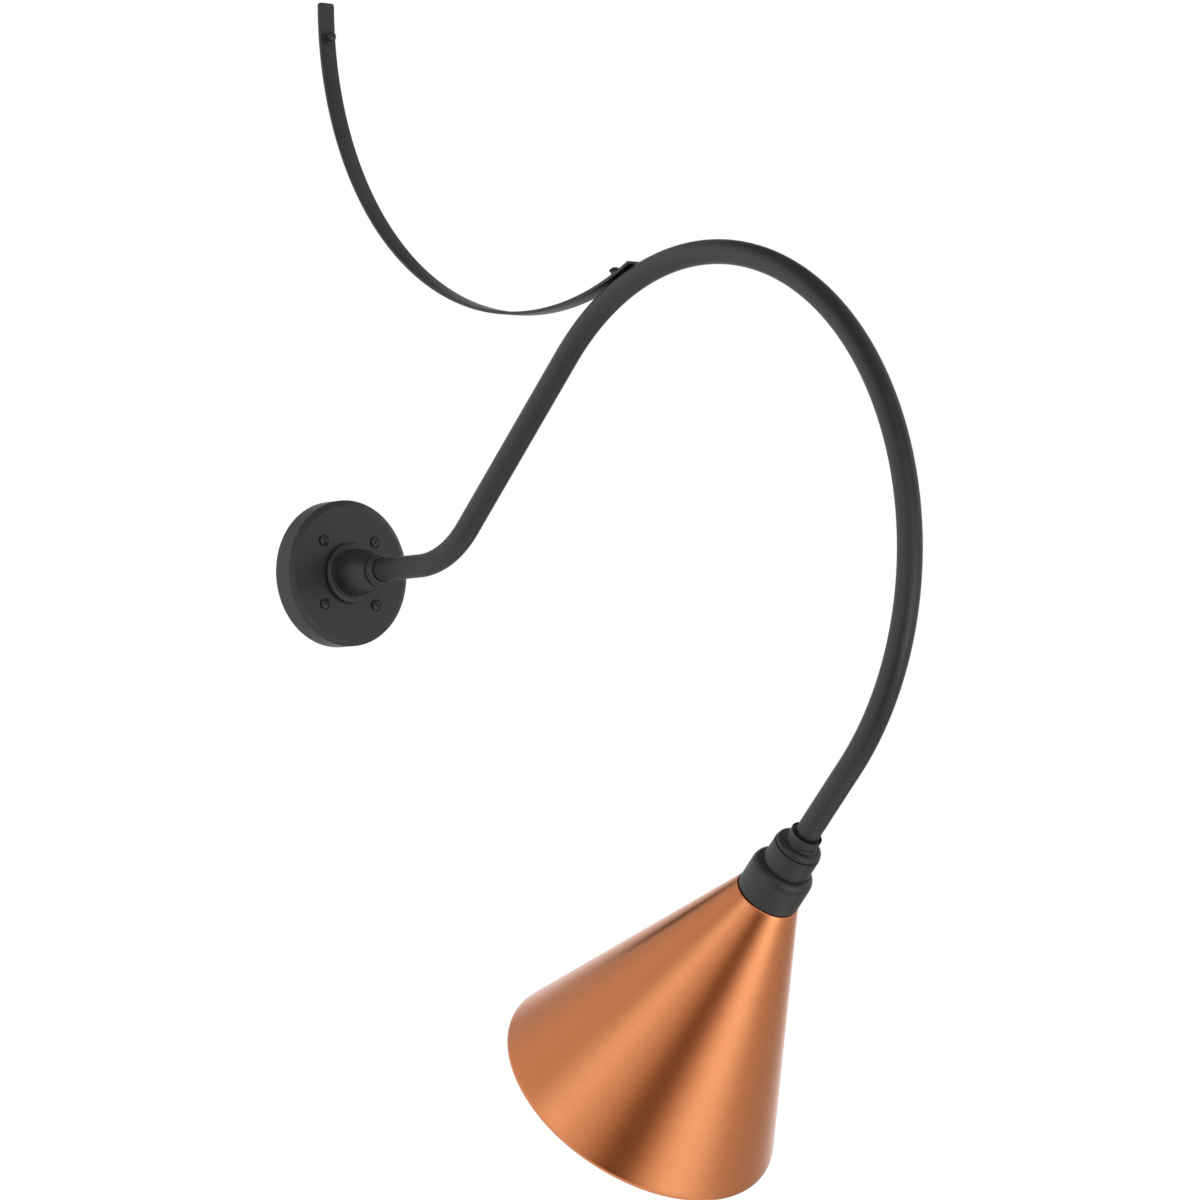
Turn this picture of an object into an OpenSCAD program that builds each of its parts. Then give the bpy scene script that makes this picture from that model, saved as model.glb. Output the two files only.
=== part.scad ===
// Barn light: a gooseneck wall light with a spun cone shade and a flat-bar stay.
// The back of the wall plate lies in the plane Y = 0 and its centre is the origin.
// The arm runs out along -Y in the plane X = 0, and +Z is up. Millimetres throughout.

/* [Wall plate] */
// Diameter of the round wall plate
plate_d = 148.8; // [140:0.2:180]
// Depth of its side, from the wall to the bevel
plate_side = 22; // [18:0.5:30]
// Depth of the bevel
plate_bevel_h = 3; // [2:0.5:4]
// Width of the bevel
plate_bevel_w = 5.7; // [4:0.1:7]
// Thickness of the front face
plate_face_t = 3; // [2:0.5:4]
// Thickness of the rim
plate_wall = 5.5; // [5:0.5:8]
// Thickness of the ribs behind the face
plate_rib_t = 3; // [2:0.5:5]
// Depth from the wall at which the ribs begin
plate_rib_back = 8; // [6:0.5:12]
// Width of the foam gasket in the back of the rim
gasket_w = 3.5; // [2:0.5:4]
// Thickness of the foam gasket
gasket_t = 2.5; // [1.5:0.5:4]

/* [Plate screws] */
// Spacing of the four wall screws, across and up
screw_pitch = 64.4; // [60:0.2:76]
// Diameter of a wall screw
screw_d = 4.8; // [4:0.1:5.5]
// Length of thread behind the wall plane
screw_reach = 25; // [15:1:40]
// Length of the point of a wall screw
screw_tip = 3; // [2:0.5:6]
// Diameter of a wall screw's head
screw_head_d = 9.6; // [8.5:0.1:11]
// Height of a wall screw's head
screw_head_h = 3.6; // [3:0.1:5]
// Height of the upright edge of that head
screw_head_edge = 1; // [0.5:0.1:1.6]
// Width of the slot in each head
screw_slot_w = 1.4; // [1:0.1:1.8]
// Depth of the slot in each head
screw_slot_h = 1.6; // [1:0.1:2]
// Diameter of the recess round each head
recess_d = 12.4; // [11.6:0.1:13]
// Depth of the recess round each head
recess_h = 1.6; // [0.8:0.1:2]
// Diameter of the boss behind each head
boss_d = 16; // [14:0.5:18]

/* [Hub] */
// Diameter of the flange bead on the wall plate
bead_d = 62; // [58:0.5:70]
// Height of the flange bead
bead_h = 6; // [5:0.5:9]
// Rounding of the flange bead
bead_r = 4.6; // [3:0.1:4.8]
// Diameter of the hub
hub_d = 48.4; // [44:0.2:52]
// Length of the hub in front of the wall plate
hub_h = 47; // [40:0.5:60]
// Rounding of the hub's front edge
hub_round = 8; // [4:0.5:9]
// Wall of the hub round its hollow
hub_wall = 4; // [3:0.5:6]
// Thickness of the hub's front end
hub_nose_t = 14; // [10:0.5:18]
// Diameter of the collar against the hub
collar_d = 32.4; // [30:0.2:36]
// Length of the collar
collar_h = 8; // [6:0.5:12]
// Diameter of the collar's front end
collar_nose_d = 27.8; // [27:0.2:29.6]
// Rounding of the collar's rear edge
collar_edge_r = 1.2; // [0.6:0.1:1.6]
// Rounding of the collar's front edge
collar_round = 2; // [1:0.1:2]
// Width of the recess round the tube in the collar's front end
collar_recess_w = 0.9; // [0.5:0.1:1.2]
// Depth of that recess
collar_recess_h = 1.4; // [0.6:0.1:3]
// Diameter of the set screw under the hub
set_screw_d = 6; // [4:0.5:7]

/* [Arm] */
// Outside diameter of the arm tube
arm_d = 23.42; // [21:0.02:26]
// Wall of the arm tube
arm_wall = 1.6; // [1.2:0.1:2.4]
// Distance from the wall to the tube's rear end
arm_rear = 11; // [8:0.5:12]
// Distance from the wall to the first bend
arm_out = 141.3; // [130:0.1:180]
// Centreline radius of the first bend
bend_r = 113.4; // [90:0.1:130]
// Rise of the straight stretch, in degrees from level
bend_rise = 44; // [38:0.5:50]
// Length of the rising straight stretch
rise_len = 223.5; // [180:0.5:260]
// Centreline radius of the gooseneck
goose_r = 284.5; // [250:0.5:310]
// Turn of the gooseneck, in degrees
goose_turn = 180; // [165:0.5:190]
// Length of straight tube between the gooseneck and the neck ring
drop_len = 84.5; // [60:0.5:120]
// Width across the flats of the two locknuts
locknut_af = 32; // [30.5:0.5:34]
// Height of a locknut
locknut_h = 5; // [4:0.5:6]
// Thickness of the lock washer
lock_washer_t = 1.6; // [1:0.1:2]
// Bore of the wire bushing in the tube's rear end
bushing_bore = 14; // [11:0.5:16]
// Length of the bushing inside the tube
bushing_in = 7.5; // [5:0.5:12]
// Thickness of the bushing's flange behind the tube
bushing_flange_t = 1.5; // [1:0.1:3]

/* [Stay] */
// Width of the stay's flat bar
stay_w = 19.05; // [16:0.05:22]
// Thickness of the stay's flat bar
stay_t = 3.175; // [2.5:0.025:4]
// Height at which the bar leaves the wall
stay_leave_z = 576.1; // [520:0.1:640]
// Rounding of the two corners of the bar's upper end
stay_corner_r = 3; // [1:0.5:6]
// Length of bar that stands straight above that height
stay_head_len = 11; // [8:0.5:40]
// Length of bar past the point where it meets the arm
stay_tail_len = 21; // [14:0.5:30]
// Distance of the stay bolt from that point, towards the wall
stay_bolt_back = 10; // [4:0.5:14]
// Height of the wall screw below the height at which the bar leaves the wall
stay_screw_drop = 25; // [12:0.5:30]
// Diameter of the thread of the stay's bolt and wall screw
stay_bolt_d = 6; // [5:0.1:7]
// Diameter of their round heads
stay_head_d = 9.7; // [8.8:0.1:12]
// Height of their round heads
stay_head_h = 3; // [2.4:0.1:5]
// Height of the upright edge of those heads
stay_head_edge = 1; // [0.5:0.1:1.6]
// Height of the shoulders that carry the heads clear of the bar
stay_shoulder_h = 5.2; // [3:0.1:8]
// Width of a shoulder's step round the thread
stay_shoulder_w = 0.8; // [0.6:0.1:1.1]
// Width of the slot in their heads
stay_slot_w = 1.8; // [1.2:0.1:2.4]
// Depth of the slot in their heads
stay_slot_h = 1.5; // [1:0.1:1.8]
// Diameter of their washers
stay_washer_d = 13.4; // [12.6:0.1:15]
// Thickness of their washers
stay_washer_t = 1.5; // [1:0.1:2]
// Length of the wall screw's thread behind the wall plane
stay_screw_reach = 6.5; // [5:0.5:40]
// Length of the wall screw's blunt point
stay_screw_tip = 2; // [1:0.5:4]
// Length of the stay bolt's blunt point
stay_bolt_tip = 1; // [0.5:0.5:3]
// Diameter of the threaded insert in the arm
insert_d = 9; // [8.4:0.1:10]
// Length of the threaded insert
insert_h = 8; // [6:0.5:10]

/* [Neck] */
// Diameter of the neck ring
ring_d = 30.8; // [29:0.2:34]
// Height of the neck ring
ring_h = 5; // [4:0.5:8]
// Rounding of the neck ring
ring_round = 0.6; // [0.4:0.1:2.4]
// Diameter of the flared cap where it meets the ring
cap_top_d = 30; // [27.6:0.2:32]
// Diameter of the flared cap's rim
cap_d = 45.8; // [43:0.2:48]
// Height of the flared cap
cap_h = 13; // [10:0.5:18]
// Rounding of the flared cap's shoulder
cap_round = 6; // [3:0.5:7]
// Height of the groove between the cap and the socket housing
groove_h = 0.8; // [0.6:0.1:2]
// Depth of that groove
groove_in = 2; // [1:0.1:3]
// Diameter of the socket housing
housing_d = 46.6; // [44:0.2:50]
// Wall of the socket housing
housing_wall = 2; // [1.5:0.1:2.6]
// Length of housing that shows between the cap and the fitter
housing_show = 22.7; // [18:0.1:30]
// Length of housing inside the fitter
housing_in = 7; // [6:0.5:10]
// Width of the housing's bottom flange
housing_lip = 3.4; // [2.5:0.1:4]

/* [Shade] */
// Diameter of the shade fitter
fitter_d = 61.2; // [58:0.2:66]
// Height of the shade fitter
fitter_h = 35.5; // [30:0.5:45]
// Height of the fitter's rounded shoulder
fitter_shoulder_h = 10; // [6:0.5:14]
// Width of the fitter's flat top edge round the housing
fitter_edge_w = 0.6; // [0.4:0.1:2]
// Wall of the shade fitter
fitter_wall = 2.2; // [1.6:0.1:2.6]
// Thickness of the gasket between the fitter and the shade
shade_gasket_t = 0.8; // [0.5:0.1:2]
// Diameter of the shade at the start of its rolled rim
shade_d = 279.2; // [240:0.2:340]
// Height of the cone
shade_h = 261; // [200:0.5:300]
// Thickness of the spun sheet
shade_t = 1.3; // [0.9:0.1:2]
// Outside radius of the rolled rim
curl_r = 8.6; // [5:0.1:11]
// Turn of the rolled rim, in degrees
curl_turn = 123; // [90:1:150]
// Diameter of the opening in the top of the shade
shade_hole_d = 44; // [43:0.5:45]
// Number of screws that hold the shade
shade_screw_n = 3; // [3:1:4]
// Diameter of these screws
shade_screw_d = 3; // [2.5:0.1:3.2]
// Length of the lugs that take them
lug_h = 11; // [8:0.5:13]

/* [Lampholder] */
// Diameter of the porcelain body
holder_d = 39; // [37:0.2:39.6]
// Height of the porcelain body
holder_h = 39; // [36:0.5:42]
// Thickness of the porcelain above the screw shell
holder_floor = 8; // [7:0.5:10]
// Thickness of the bridge strap
bridge_t = 1.5; // [1:0.1:2]
// Width of the bridge strap
bridge_w = 11; // [9:0.5:13]
// Height of the bridge strap's legs
bridge_h = 13.8; // [11:0.1:16]
// Diameter of the porcelain's two screws
holder_screw_d = 3; // [2.5:0.1:3.2]
// Wall of the screw shell
shell_t = 0.8; // [0.5:0.1:1]
// Depth of the screw shell in its well
shell_in = 2; // [1:0.5:3]
// Width of the centre contact
contact_w = 8; // [6:0.5:10]
// Thickness of the centre contact
contact_t = 0.8; // [0.5:0.1:1]

/* [Lamp] */
// Diameter of the lamp's screw cap
lamp_cap_d = 26.3; // [26:0.05:27]
// Length of the screw cap
lamp_cap_h = 21; // [20:0.5:24]
// Height of the glass insulator and centre contact
lamp_tip_h = 4.5; // [3.5:0.1:6]
// Diameter of the glass envelope
lamp_d = 60; // [50:0.5:66]
// Length of the lamp, from its contact to its crown
lamp_len = 110; // [100:1:120]
// Wall of the glass envelope
lamp_glass_t = 1; // [0.7:0.1:1.5]
// Length of the envelope's neck inside the screw cap
lamp_neck_in = 6; // [4:0.5:10]
// Diameter of the lamp's centre contact
lamp_contact_d = 9.6; // [8:0.2:11]
// Thickness of the lamp's centre contact
lamp_contact_t = 1.2; // [0.8:0.1:1.8]

/* [Clearances] */
// Radial play where a tube or shaft passes through a hole
bore_play = 0.15; // [0.05:0.05:0.3]
// Radial play round a threaded shank
thread_play = 0.05; // [0.03:0.01:0.1]
// Step from a wall screw's thread in to its plain shank
thread_relief = 0.3; // [0.2:0.05:0.5]
// Radial play round a screw in its clearance hole
screw_play = 0.3; // [0.2:0.05:0.5]
// Gap between a flat washer or seat and the curved face it lies on
seat_gap = 0.12; // [0.08:0.02:0.3]
// Radial play between the lamp's cap and the screw shell
lamp_play = 0.08; // [0.04:0.01:0.1]

/* [Hidden] */
$fn = 96;
eps = 0.01;

// A bend is drawn a hair thinner than the straights, which lap over its ends
bend_draw = 0.04;
bend_lap = 0.5;

// Finishes
charcoal = [0.25, 0.25, 0.27];
copper = [0.80, 0.47, 0.30];
steel = [0.70, 0.71, 0.72];
brass = [0.76, 0.62, 0.34];
porcelain = [0.93, 0.92, 0.88];
foam = [0.12, 0.12, 0.12];
opal = [0.95, 0.95, 0.92];

// Radii and depths of the wall plate and hub, measured out from the wall
plate_r = plate_d / 2;
plate_depth = plate_side + plate_bevel_h;
cavity_r = plate_r - plate_wall;
cavity_h = plate_depth - plate_face_t;
arm_r = arm_d / 2;
arm_bore_r = arm_r - arm_wall;
arm_hole_r = arm_r + bore_play;
hub_front = plate_depth + hub_h;
collar_front = hub_front + collar_h;
set_screw_out = hub_front - hub_nose_t / 2;

// The arm's centreline as [out, up] points in its own plane. A heading of 0 points
// straight out from the wall and 90 points up.
function step(heading, length) = length * [cos(heading), sin(heading)];
function side_step(heading, length) = length * [-sin(heading), cos(heading)];
goose_heading = bend_rise - goose_turn;
bend_start = [arm_out, 0];
bend_centre = bend_start + side_step(0, bend_r);
rise_start = bend_centre - side_step(bend_rise, bend_r);
rise_end = rise_start + step(bend_rise, rise_len);
goose_centre = rise_end - side_step(bend_rise, goose_r);
goose_end = goose_centre + side_step(goose_heading, goose_r);

// The stay is one arc that leaves the wall upright and touches the top of the
// gooseneck: its radius follows from the two circles touching from outside.
stay_reach = goose_centre[0] - stay_t / 2;
stay_rise = stay_leave_z - goose_centre[1];
stay_touch = goose_r + arm_r + seat_gap + stay_t / 2 - 2 * bend_draw;
stay_r = (stay_reach ^ 2 + stay_rise ^ 2 - stay_touch ^ 2) / (2 * (stay_reach + stay_touch));
stay_centre = [stay_t / 2 + stay_r, stay_leave_z];
stay_meet = atan2(goose_centre[0] - stay_centre[0], stay_centre[1] - goose_centre[1]);
function arc_angle(length, radius) = length / radius * 180 / PI;
stay_end = stay_meet + arc_angle(stay_tail_len, stay_r);
stay_bolt_at = stay_meet - arc_angle(stay_bolt_back, stay_r);
stay_bolt_point = stay_centre + stay_r * [sin(stay_bolt_at), -cos(stay_bolt_at)];
stay_screw_z = stay_leave_z - stay_screw_drop;
stay_screw_tilt = asin(stay_screw_drop / stay_r);
stay_screw_point = stay_centre - stay_r * [cos(stay_screw_tilt), sin(stay_screw_tilt)];
stay_hole_r = stay_bolt_d / 2 + screw_play;
// Depth of the wall plane behind the bar's middle, measured along the wall screw, and
// height of the washers' upper faces above the bar's middle
stay_wall_depth = stay_screw_point[0] / cos(stay_screw_tilt);
stay_seat = stay_t / 2 + seat_gap + stay_washer_t;
// Depth of the tube's skin below the bar's middle, measured along the bolt
bolt_to_goose = norm(stay_bolt_point - goose_centre) - goose_r - arm_r;
insert_sink = arm_r - sqrt(arm_r ^ 2 - (insert_d / 2) ^ 2) + seat_gap;
insert_top = bolt_to_goose + insert_sink;

// Stations down the head, measured from the end of the gooseneck
ring_at = drop_len;
cap_at = ring_at + ring_h;
cap_end = cap_at + cap_h;
housing_at = cap_end + groove_h;
fitter_at = housing_at + housing_show;
fitter_end = fitter_at + fitter_h;
shade_at = fitter_end + shade_gasket_t;
housing_end = fitter_at + housing_in;
bridge_at = housing_at + housing_wall;
neck_nut_at = bridge_at + bridge_t;
arm_front = neck_nut_at + locknut_h + 1;
holder_at = bridge_at + bridge_h;
shell_top = holder_at + holder_floor;
holder_end = holder_at + holder_h;
contact_at = shell_top + shell_in;
lamp_at = contact_at + contact_t;
lamp_cap_at = lamp_at + lamp_tip_h;
lamp_end = lamp_at + lamp_len;

// Radii of the head
housing_bore_r = housing_d / 2 - housing_wall;
fitter_r = fitter_d / 2;
fitter_bore_r = fitter_r - fitter_wall;
fitter_hole_r = housing_d / 2 + bore_play;
fitter_round = fitter_r - fitter_hole_r - fitter_edge_w;
cap_fillet = cap_d / 2 - cap_round - cap_top_d / 2;
lug_r = (fitter_bore_r - shade_hole_d / 2) / 2 + 0.3;
lug_pcd_r = fitter_bore_r + 0.3 - lug_r;
lamp_cap_r = lamp_cap_d / 2;
shell_bore_r = lamp_cap_r + lamp_play;
shell_r = shell_bore_r + shell_t;
well_r = shell_r + thread_play;
holder_screw_pcd_r = (well_r + holder_d / 2) / 2;
bridge_leg_r = housing_bore_r - 2 * bore_play;

// Points along an arc of a profile, from angle a to angle b
function arc_points(centre, radius, a, b, n = 8) =
    [for (i = [0 : n]) centre + radius * [cos(a + (b - a) * i / n), sin(a + (b - a) * i / n)]];

// Puts its children at an [out, up] point, with their +Z along the heading
module along(point, heading) translate([0, -point[0], point[1]]) rotate([90 - heading, 0, 0])
    children();

// Puts its children in front of the wall plane, with their +Z straight out
module out(distance = 0) along([distance, 0], 0) children();

// Puts its children at a station of the head, with their +Z down towards the lamp
module head(station = 0) along(goose_end + step(goose_heading, station), goose_heading)
    children();

// Sweeps a flat section round a point of the arm's plane. Angles are counted from
// straight down, towards the room, and the section's +X points away from the centre.
module sweep(centre, from, to) translate([0, -centre[0], centre[1]]) rotate([0, 90, 0])
    rotate([0, 0, -to]) rotate_extrude(angle = to - from, $fn = 180) children();

// A flat ring, and a tube that is the same thing longer
module tube(outer_r, inner_r, height) linear_extrude(height) difference() {
    circle(outer_r);
    circle(inner_r);
}

// Profile of a low dome of the given base radius, on a cylinder of height wall
function dome_points(radius, wall, height, n = 8) =
    let (rise = height - wall, big = (radius ^ 2 + rise ^ 2) / (2 * rise), a = asin(radius / big))
    [for (i = [0 : n]) [big * sin(a * (1 - i / n)), height - big * (1 - cos(a * (1 - i / n)))]];

// Domed screw head standing on Z = 0
module dome_head(diameter, height, wall) rotate_extrude()
    polygon(concat([[0, 0], [diameter / 2, 0]], dome_points(diameter / 2, wall, height)));

// Shank that runs down from Z = 0 and ends in a blunt point
module shank(diameter, length, tip) {
    translate([0, 0, -length + tip]) cylinder(d = diameter, h = length - tip);
    translate([0, 0, -length]) cylinder(r1 = diameter / 6, r2 = diameter / 2, h = tip);
}

// Shank that runs down from Z = 0: a plain stretch first, then a thicker thread
module stepped_shank(diameter, plain, reach, tip) {
    translate([0, 0, -plain]) cylinder(d = diameter - 2 * thread_relief, h = plain);
    translate([0, 0, -plain]) shank(diameter, reach, tip);
}

// Runs its children at the four corners of the wall screws' square
module at_plate_screws() for (x = [-1, 1], z = [-1, 1])
    translate([x * screw_pitch / 2, z * screw_pitch / 2, 0]) children();

module wall_plate() color(charcoal) out() difference() {
    union() {
        difference() {
            rotate_extrude() polygon([
                [0, 0], [plate_r, 0], [plate_r, plate_side],
                [plate_r - plate_bevel_w, plate_depth], [0, plate_depth]
            ]);
            translate([0, 0, -eps]) cylinder(r = cavity_r, h = cavity_h + eps);
        }
        at_plate_screws() cylinder(d = boss_d, h = cavity_h + plate_face_t / 2);
        for (a = [45 : 90 : 315]) rotate([0, 0, a])
            translate([screw_pitch / sqrt(2), -plate_rib_t / 2, plate_rib_back])
                cube([cavity_r + plate_wall / 2 - screw_pitch / sqrt(2), plate_rib_t,
                      cavity_h + plate_face_t / 2 - plate_rib_back]);
    }
    translate([0, 0, -eps]) cylinder(r = cavity_r + gasket_w, h = gasket_t + eps);
    cylinder(r = arm_hole_r, h = plate_depth + 1);
    at_plate_screws() {
        translate([0, 0, -1]) cylinder(r = screw_d / 2 + screw_play, h = plate_depth + 2);
        translate([0, 0, plate_depth - recess_h]) cylinder(d = recess_d, h = recess_h + 1);
    }
}

module wall_gasket() color(foam) out() tube(cavity_r + gasket_w - bore_play, cavity_r, gasket_t);

module plate_screws() color(charcoal) out(plate_depth - recess_h) at_plate_screws()
    difference() {
        union() {
            dome_head(screw_head_d, screw_head_h, screw_head_edge);
            stepped_shank(screw_d, plate_depth - recess_h, screw_reach, screw_tip);
        }
        translate([-screw_head_d / 2 - 1, -screw_slot_w / 2, screw_head_h - screw_slot_h])
            cube([screw_head_d + 2, screw_slot_w, screw_slot_h + 1]);
    }

module hub() color(charcoal) out(plate_depth) difference() {
    rotate_extrude() polygon(concat(
        [[0, 0]],
        arc_points([bead_d / 2 - bead_r, bead_h - bead_r], bead_r, 0, 90),
        [[hub_d / 2, bead_h]],
        arc_points([hub_d / 2 - hub_round, hub_h - hub_round], hub_round, 0, 90),
        [[0, hub_h]]
    ));
    translate([0, 0, -1]) cylinder(r = arm_hole_r, h = hub_h + 2);
    translate([0, 0, -1]) cylinder(r = hub_d / 2 - hub_wall, h = hub_h - hub_nose_t + 1);
    translate([0, 0, hub_h - hub_nose_t / 2]) rotate([90, 0, 0])
        cylinder(r = set_screw_d / 2 + thread_play, h = hub_d);
}

module arm_collar() color(charcoal) out(hub_front) rotate_extrude() polygon(concat(
    [[arm_hole_r, 0]],
    arc_points([collar_d / 2 - collar_edge_r, collar_edge_r], collar_edge_r, -90, 0, 4),
    [[collar_d / 2, collar_edge_r * 1.5]],
    arc_points([collar_nose_d / 2 - collar_round, collar_h - collar_round], collar_round, 10, 90, 5),
    [[arm_r + collar_recess_w, collar_h], [arm_r + collar_recess_w, collar_h - collar_recess_h],
     [arm_hole_r, collar_h - collar_recess_h]]
));

module hub_set_screw() color(charcoal) out(set_screw_out) rotate([90, 0, 0])
    translate([0, 0, arm_r + seat_gap]) difference() {
        cylinder(d = set_screw_d, h = hub_d / 2 - arm_r - 1.2);
        translate([0, 0, hub_d / 2 - arm_r - 4.2]) cylinder(d = set_screw_d / 2, h = 4, $fn = 6);
    }

// Wall section of the arm. Both faces lie a hair inside the straights' in a bend.
module arm_section(draw = 0) difference() {
    circle(arm_r - draw);
    circle(arm_bore_r + draw);
}

// Puts its children on the middle of the stay's bar, with +Z towards arm and wall
module on_stay(angle) along(stay_centre + stay_r * [sin(angle), -cos(angle)], angle - 90)
    children();

module arm_tube() color(charcoal) difference() {
    union() {
        out(arm_rear) linear_extrude(arm_out - arm_rear + bend_lap) arm_section();
        sweep(bend_centre, 0, bend_rise) translate([bend_r, 0]) arm_section(bend_draw);
        along(rise_start - step(bend_rise, bend_lap), bend_rise)
            linear_extrude(rise_len + 2 * bend_lap) arm_section();
        sweep(goose_centre, goose_heading + 180, bend_rise + 180)
            translate([goose_r, 0]) arm_section(bend_draw);
        head(-bend_lap) linear_extrude(arm_front + bend_lap) arm_section();
    }
    on_stay(stay_bolt_at) cylinder(r = insert_d / 2 + thread_play, h = insert_top + insert_h);
}

// Hexagonal locknut that fits the threaded ends of the arm
module locknut() difference() {
    rotate(30) cylinder(d = locknut_af / cos(30), h = locknut_h, $fn = 6);
    translate([0, 0, -1]) cylinder(r = arm_r + thread_play, h = locknut_h + 2);
}

module arm_locknut() color(steel) out(cavity_h - lock_washer_t - locknut_h) locknut();

module arm_lock_washer() color(steel) out(cavity_h - lock_washer_t)
    tube(locknut_af / 2 + 1, arm_hole_r, lock_washer_t);

module arm_bushing() color(foam) out(arm_rear - bushing_flange_t) difference() {
    union() {
        cylinder(r = arm_r, h = bushing_flange_t);
        cylinder(r = arm_bore_r - thread_play, h = bushing_flange_t + bushing_in);
    }
    translate([0, 0, -1]) cylinder(d = bushing_bore, h = bushing_flange_t + bushing_in + 2);
}

module stay_bar() color(charcoal) difference() {
    union() {
        sweep(stay_centre, -90, stay_end)
            translate([stay_r - stay_t / 2 + bend_draw, bend_draw - stay_w / 2])
                square([stay_t - 2 * bend_draw, stay_w - 2 * bend_draw]);
        translate([0, 0, stay_leave_z - bend_lap]) rotate([90, 0, 0]) linear_extrude(stay_t)
            polygon(concat(
                [[-stay_w / 2, 0], [stay_w / 2, 0]],
                arc_points([stay_w / 2 - stay_corner_r, stay_head_len + bend_lap - stay_corner_r],
                           stay_corner_r, 0, 90, 5),
                arc_points([stay_corner_r - stay_w / 2, stay_head_len + bend_lap - stay_corner_r],
                           stay_corner_r, 90, 180, 5)
            ));
    }
    for (a = [stay_bolt_at, stay_screw_tilt - 90]) on_stay(a)
        translate([0, 0, -stay_t]) cylinder(r = stay_hole_r, h = 2 * stay_t);
}

module stay_insert() color(steel) on_stay(stay_bolt_at) translate([0, 0, insert_top])
    tube(insert_d / 2, stay_bolt_d / 2 + thread_play, insert_h);

// Slotted shoulder fastener that stands on a stay washer. Its thread begins at depth
// plain behind the bar's middle and is reach long. Its slot is turned from the bar's
// width by turn.
module stay_fastener(plain, reach, tip, turn) translate([0, 0, -stay_seat]) rotate([180, 0, turn])
    difference() {
        union() {
            cylinder(d = stay_bolt_d + 2 * stay_shoulder_w, h = stay_shoulder_h);
            translate([0, 0, stay_shoulder_h])
                dome_head(stay_head_d, stay_head_h, stay_head_edge);
            stepped_shank(stay_bolt_d, plain + stay_seat, reach, tip);
        }
        translate([-stay_head_d / 2 - 1, -stay_slot_w / 2,
                   stay_shoulder_h + stay_head_h - stay_slot_h])
            cube([stay_head_d + 2, stay_slot_w, stay_slot_h + 1]);
    }

module stay_washer() translate([0, 0, -stay_seat])
    tube(stay_washer_d / 2, stay_hole_r, stay_washer_t);

module stay_bolt() color(charcoal) on_stay(stay_bolt_at)
    stay_fastener(stay_t / 2, insert_top + insert_h - stay_t / 2, stay_bolt_tip, 80);

module stay_bolt_washer() color(charcoal) on_stay(stay_bolt_at) stay_washer();

module stay_wall_screw() color(charcoal) on_stay(stay_screw_tilt - 90)
    stay_fastener(stay_wall_depth, stay_screw_reach, stay_screw_tip, 20);

module stay_wall_washer() color(charcoal) on_stay(stay_screw_tilt - 90) stay_washer();

module neck_ring() color(charcoal) head(ring_at) rotate_extrude() polygon(concat(
    [[arm_hole_r, 0]],
    arc_points([ring_d / 2 - ring_round, ring_round], ring_round, -90, 0, 5),
    arc_points([ring_d / 2 - ring_round, ring_h - ring_round], ring_round, 0, 90, 5),
    [[arm_hole_r, ring_h]]
));

module neck_cap() color(charcoal) head(cap_at) rotate_extrude() polygon(concat(
    [[arm_hole_r, 0], [cap_top_d / 2, 0]],
    arc_points([cap_top_d / 2 + cap_fillet, cap_h - cap_round - cap_fillet], cap_fillet, 180, 99, 9),
    arc_points([cap_d / 2 - cap_round, cap_h], cap_round, -90, 0, 10),
    [[arm_hole_r, cap_h]]
));

module socket_housing() color(charcoal) head(cap_end) rotate_extrude() polygon([
    [arm_hole_r, 0], [housing_d / 2 - groove_in, 0], [housing_d / 2 - groove_in, groove_h],
    [housing_d / 2, groove_h], [housing_d / 2, housing_end - cap_end - housing_wall],
    [housing_d / 2 + housing_lip, housing_end - cap_end - housing_wall],
    [housing_d / 2 + housing_lip, housing_end - cap_end],
    [housing_bore_r, housing_end - cap_end], [housing_bore_r, bridge_at - cap_end],
    [arm_hole_r, bridge_at - cap_end]
]);

module neck_locknut() color(steel) head(neck_nut_at) locknut();

module shade_fitter() color(charcoal) head(fitter_at) difference() {
    union() {
        rotate_extrude() polygon(concat(
            [[fitter_hole_r, 0]],
            [for (a = [90 : -11.25 : 0]) [
                fitter_r - fitter_round + fitter_round * cos(a),
                fitter_shoulder_h * (1 - sin(a))
            ]],
            [[fitter_r, fitter_h], [fitter_bore_r, fitter_h],
             [fitter_bore_r, housing_in - housing_wall], [fitter_hole_r, housing_in - housing_wall]]
        ));
        at_shade_screws() translate([0, 0, fitter_h - lug_h]) cylinder(r = lug_r, h = lug_h);
    }
    at_shade_screws() translate([0, 0, fitter_h - lug_h - 1])
        cylinder(r = shade_screw_d / 2 + thread_play, h = lug_h + 2);
}

// Runs its children at the screws that hold the shade
module at_shade_screws() for (i = [0 : shade_screw_n - 1])
    rotate([0, 0, 30 + i * 360 / shade_screw_n]) translate([lug_pcd_r, 0, 0]) children();

module shade_gasket() color(foam) head(fitter_end) difference() {
    tube(fitter_r - 0.3, shade_hole_d / 2, shade_gasket_t);
    at_shade_screws() translate([0, 0, -1])
        cylinder(r = shade_screw_d / 2 + screw_play, h = shade_gasket_t + 2);
}

// The cone's slope from the head's axis, and the centre of its rolled rim
shade_slope = atan((shade_d / 2 - fitter_r) / shade_h);
shade_inward = [-cos(shade_slope), sin(shade_slope)];
curl_centre = [shade_d / 2, shade_h] + curl_r * shade_inward;

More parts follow.
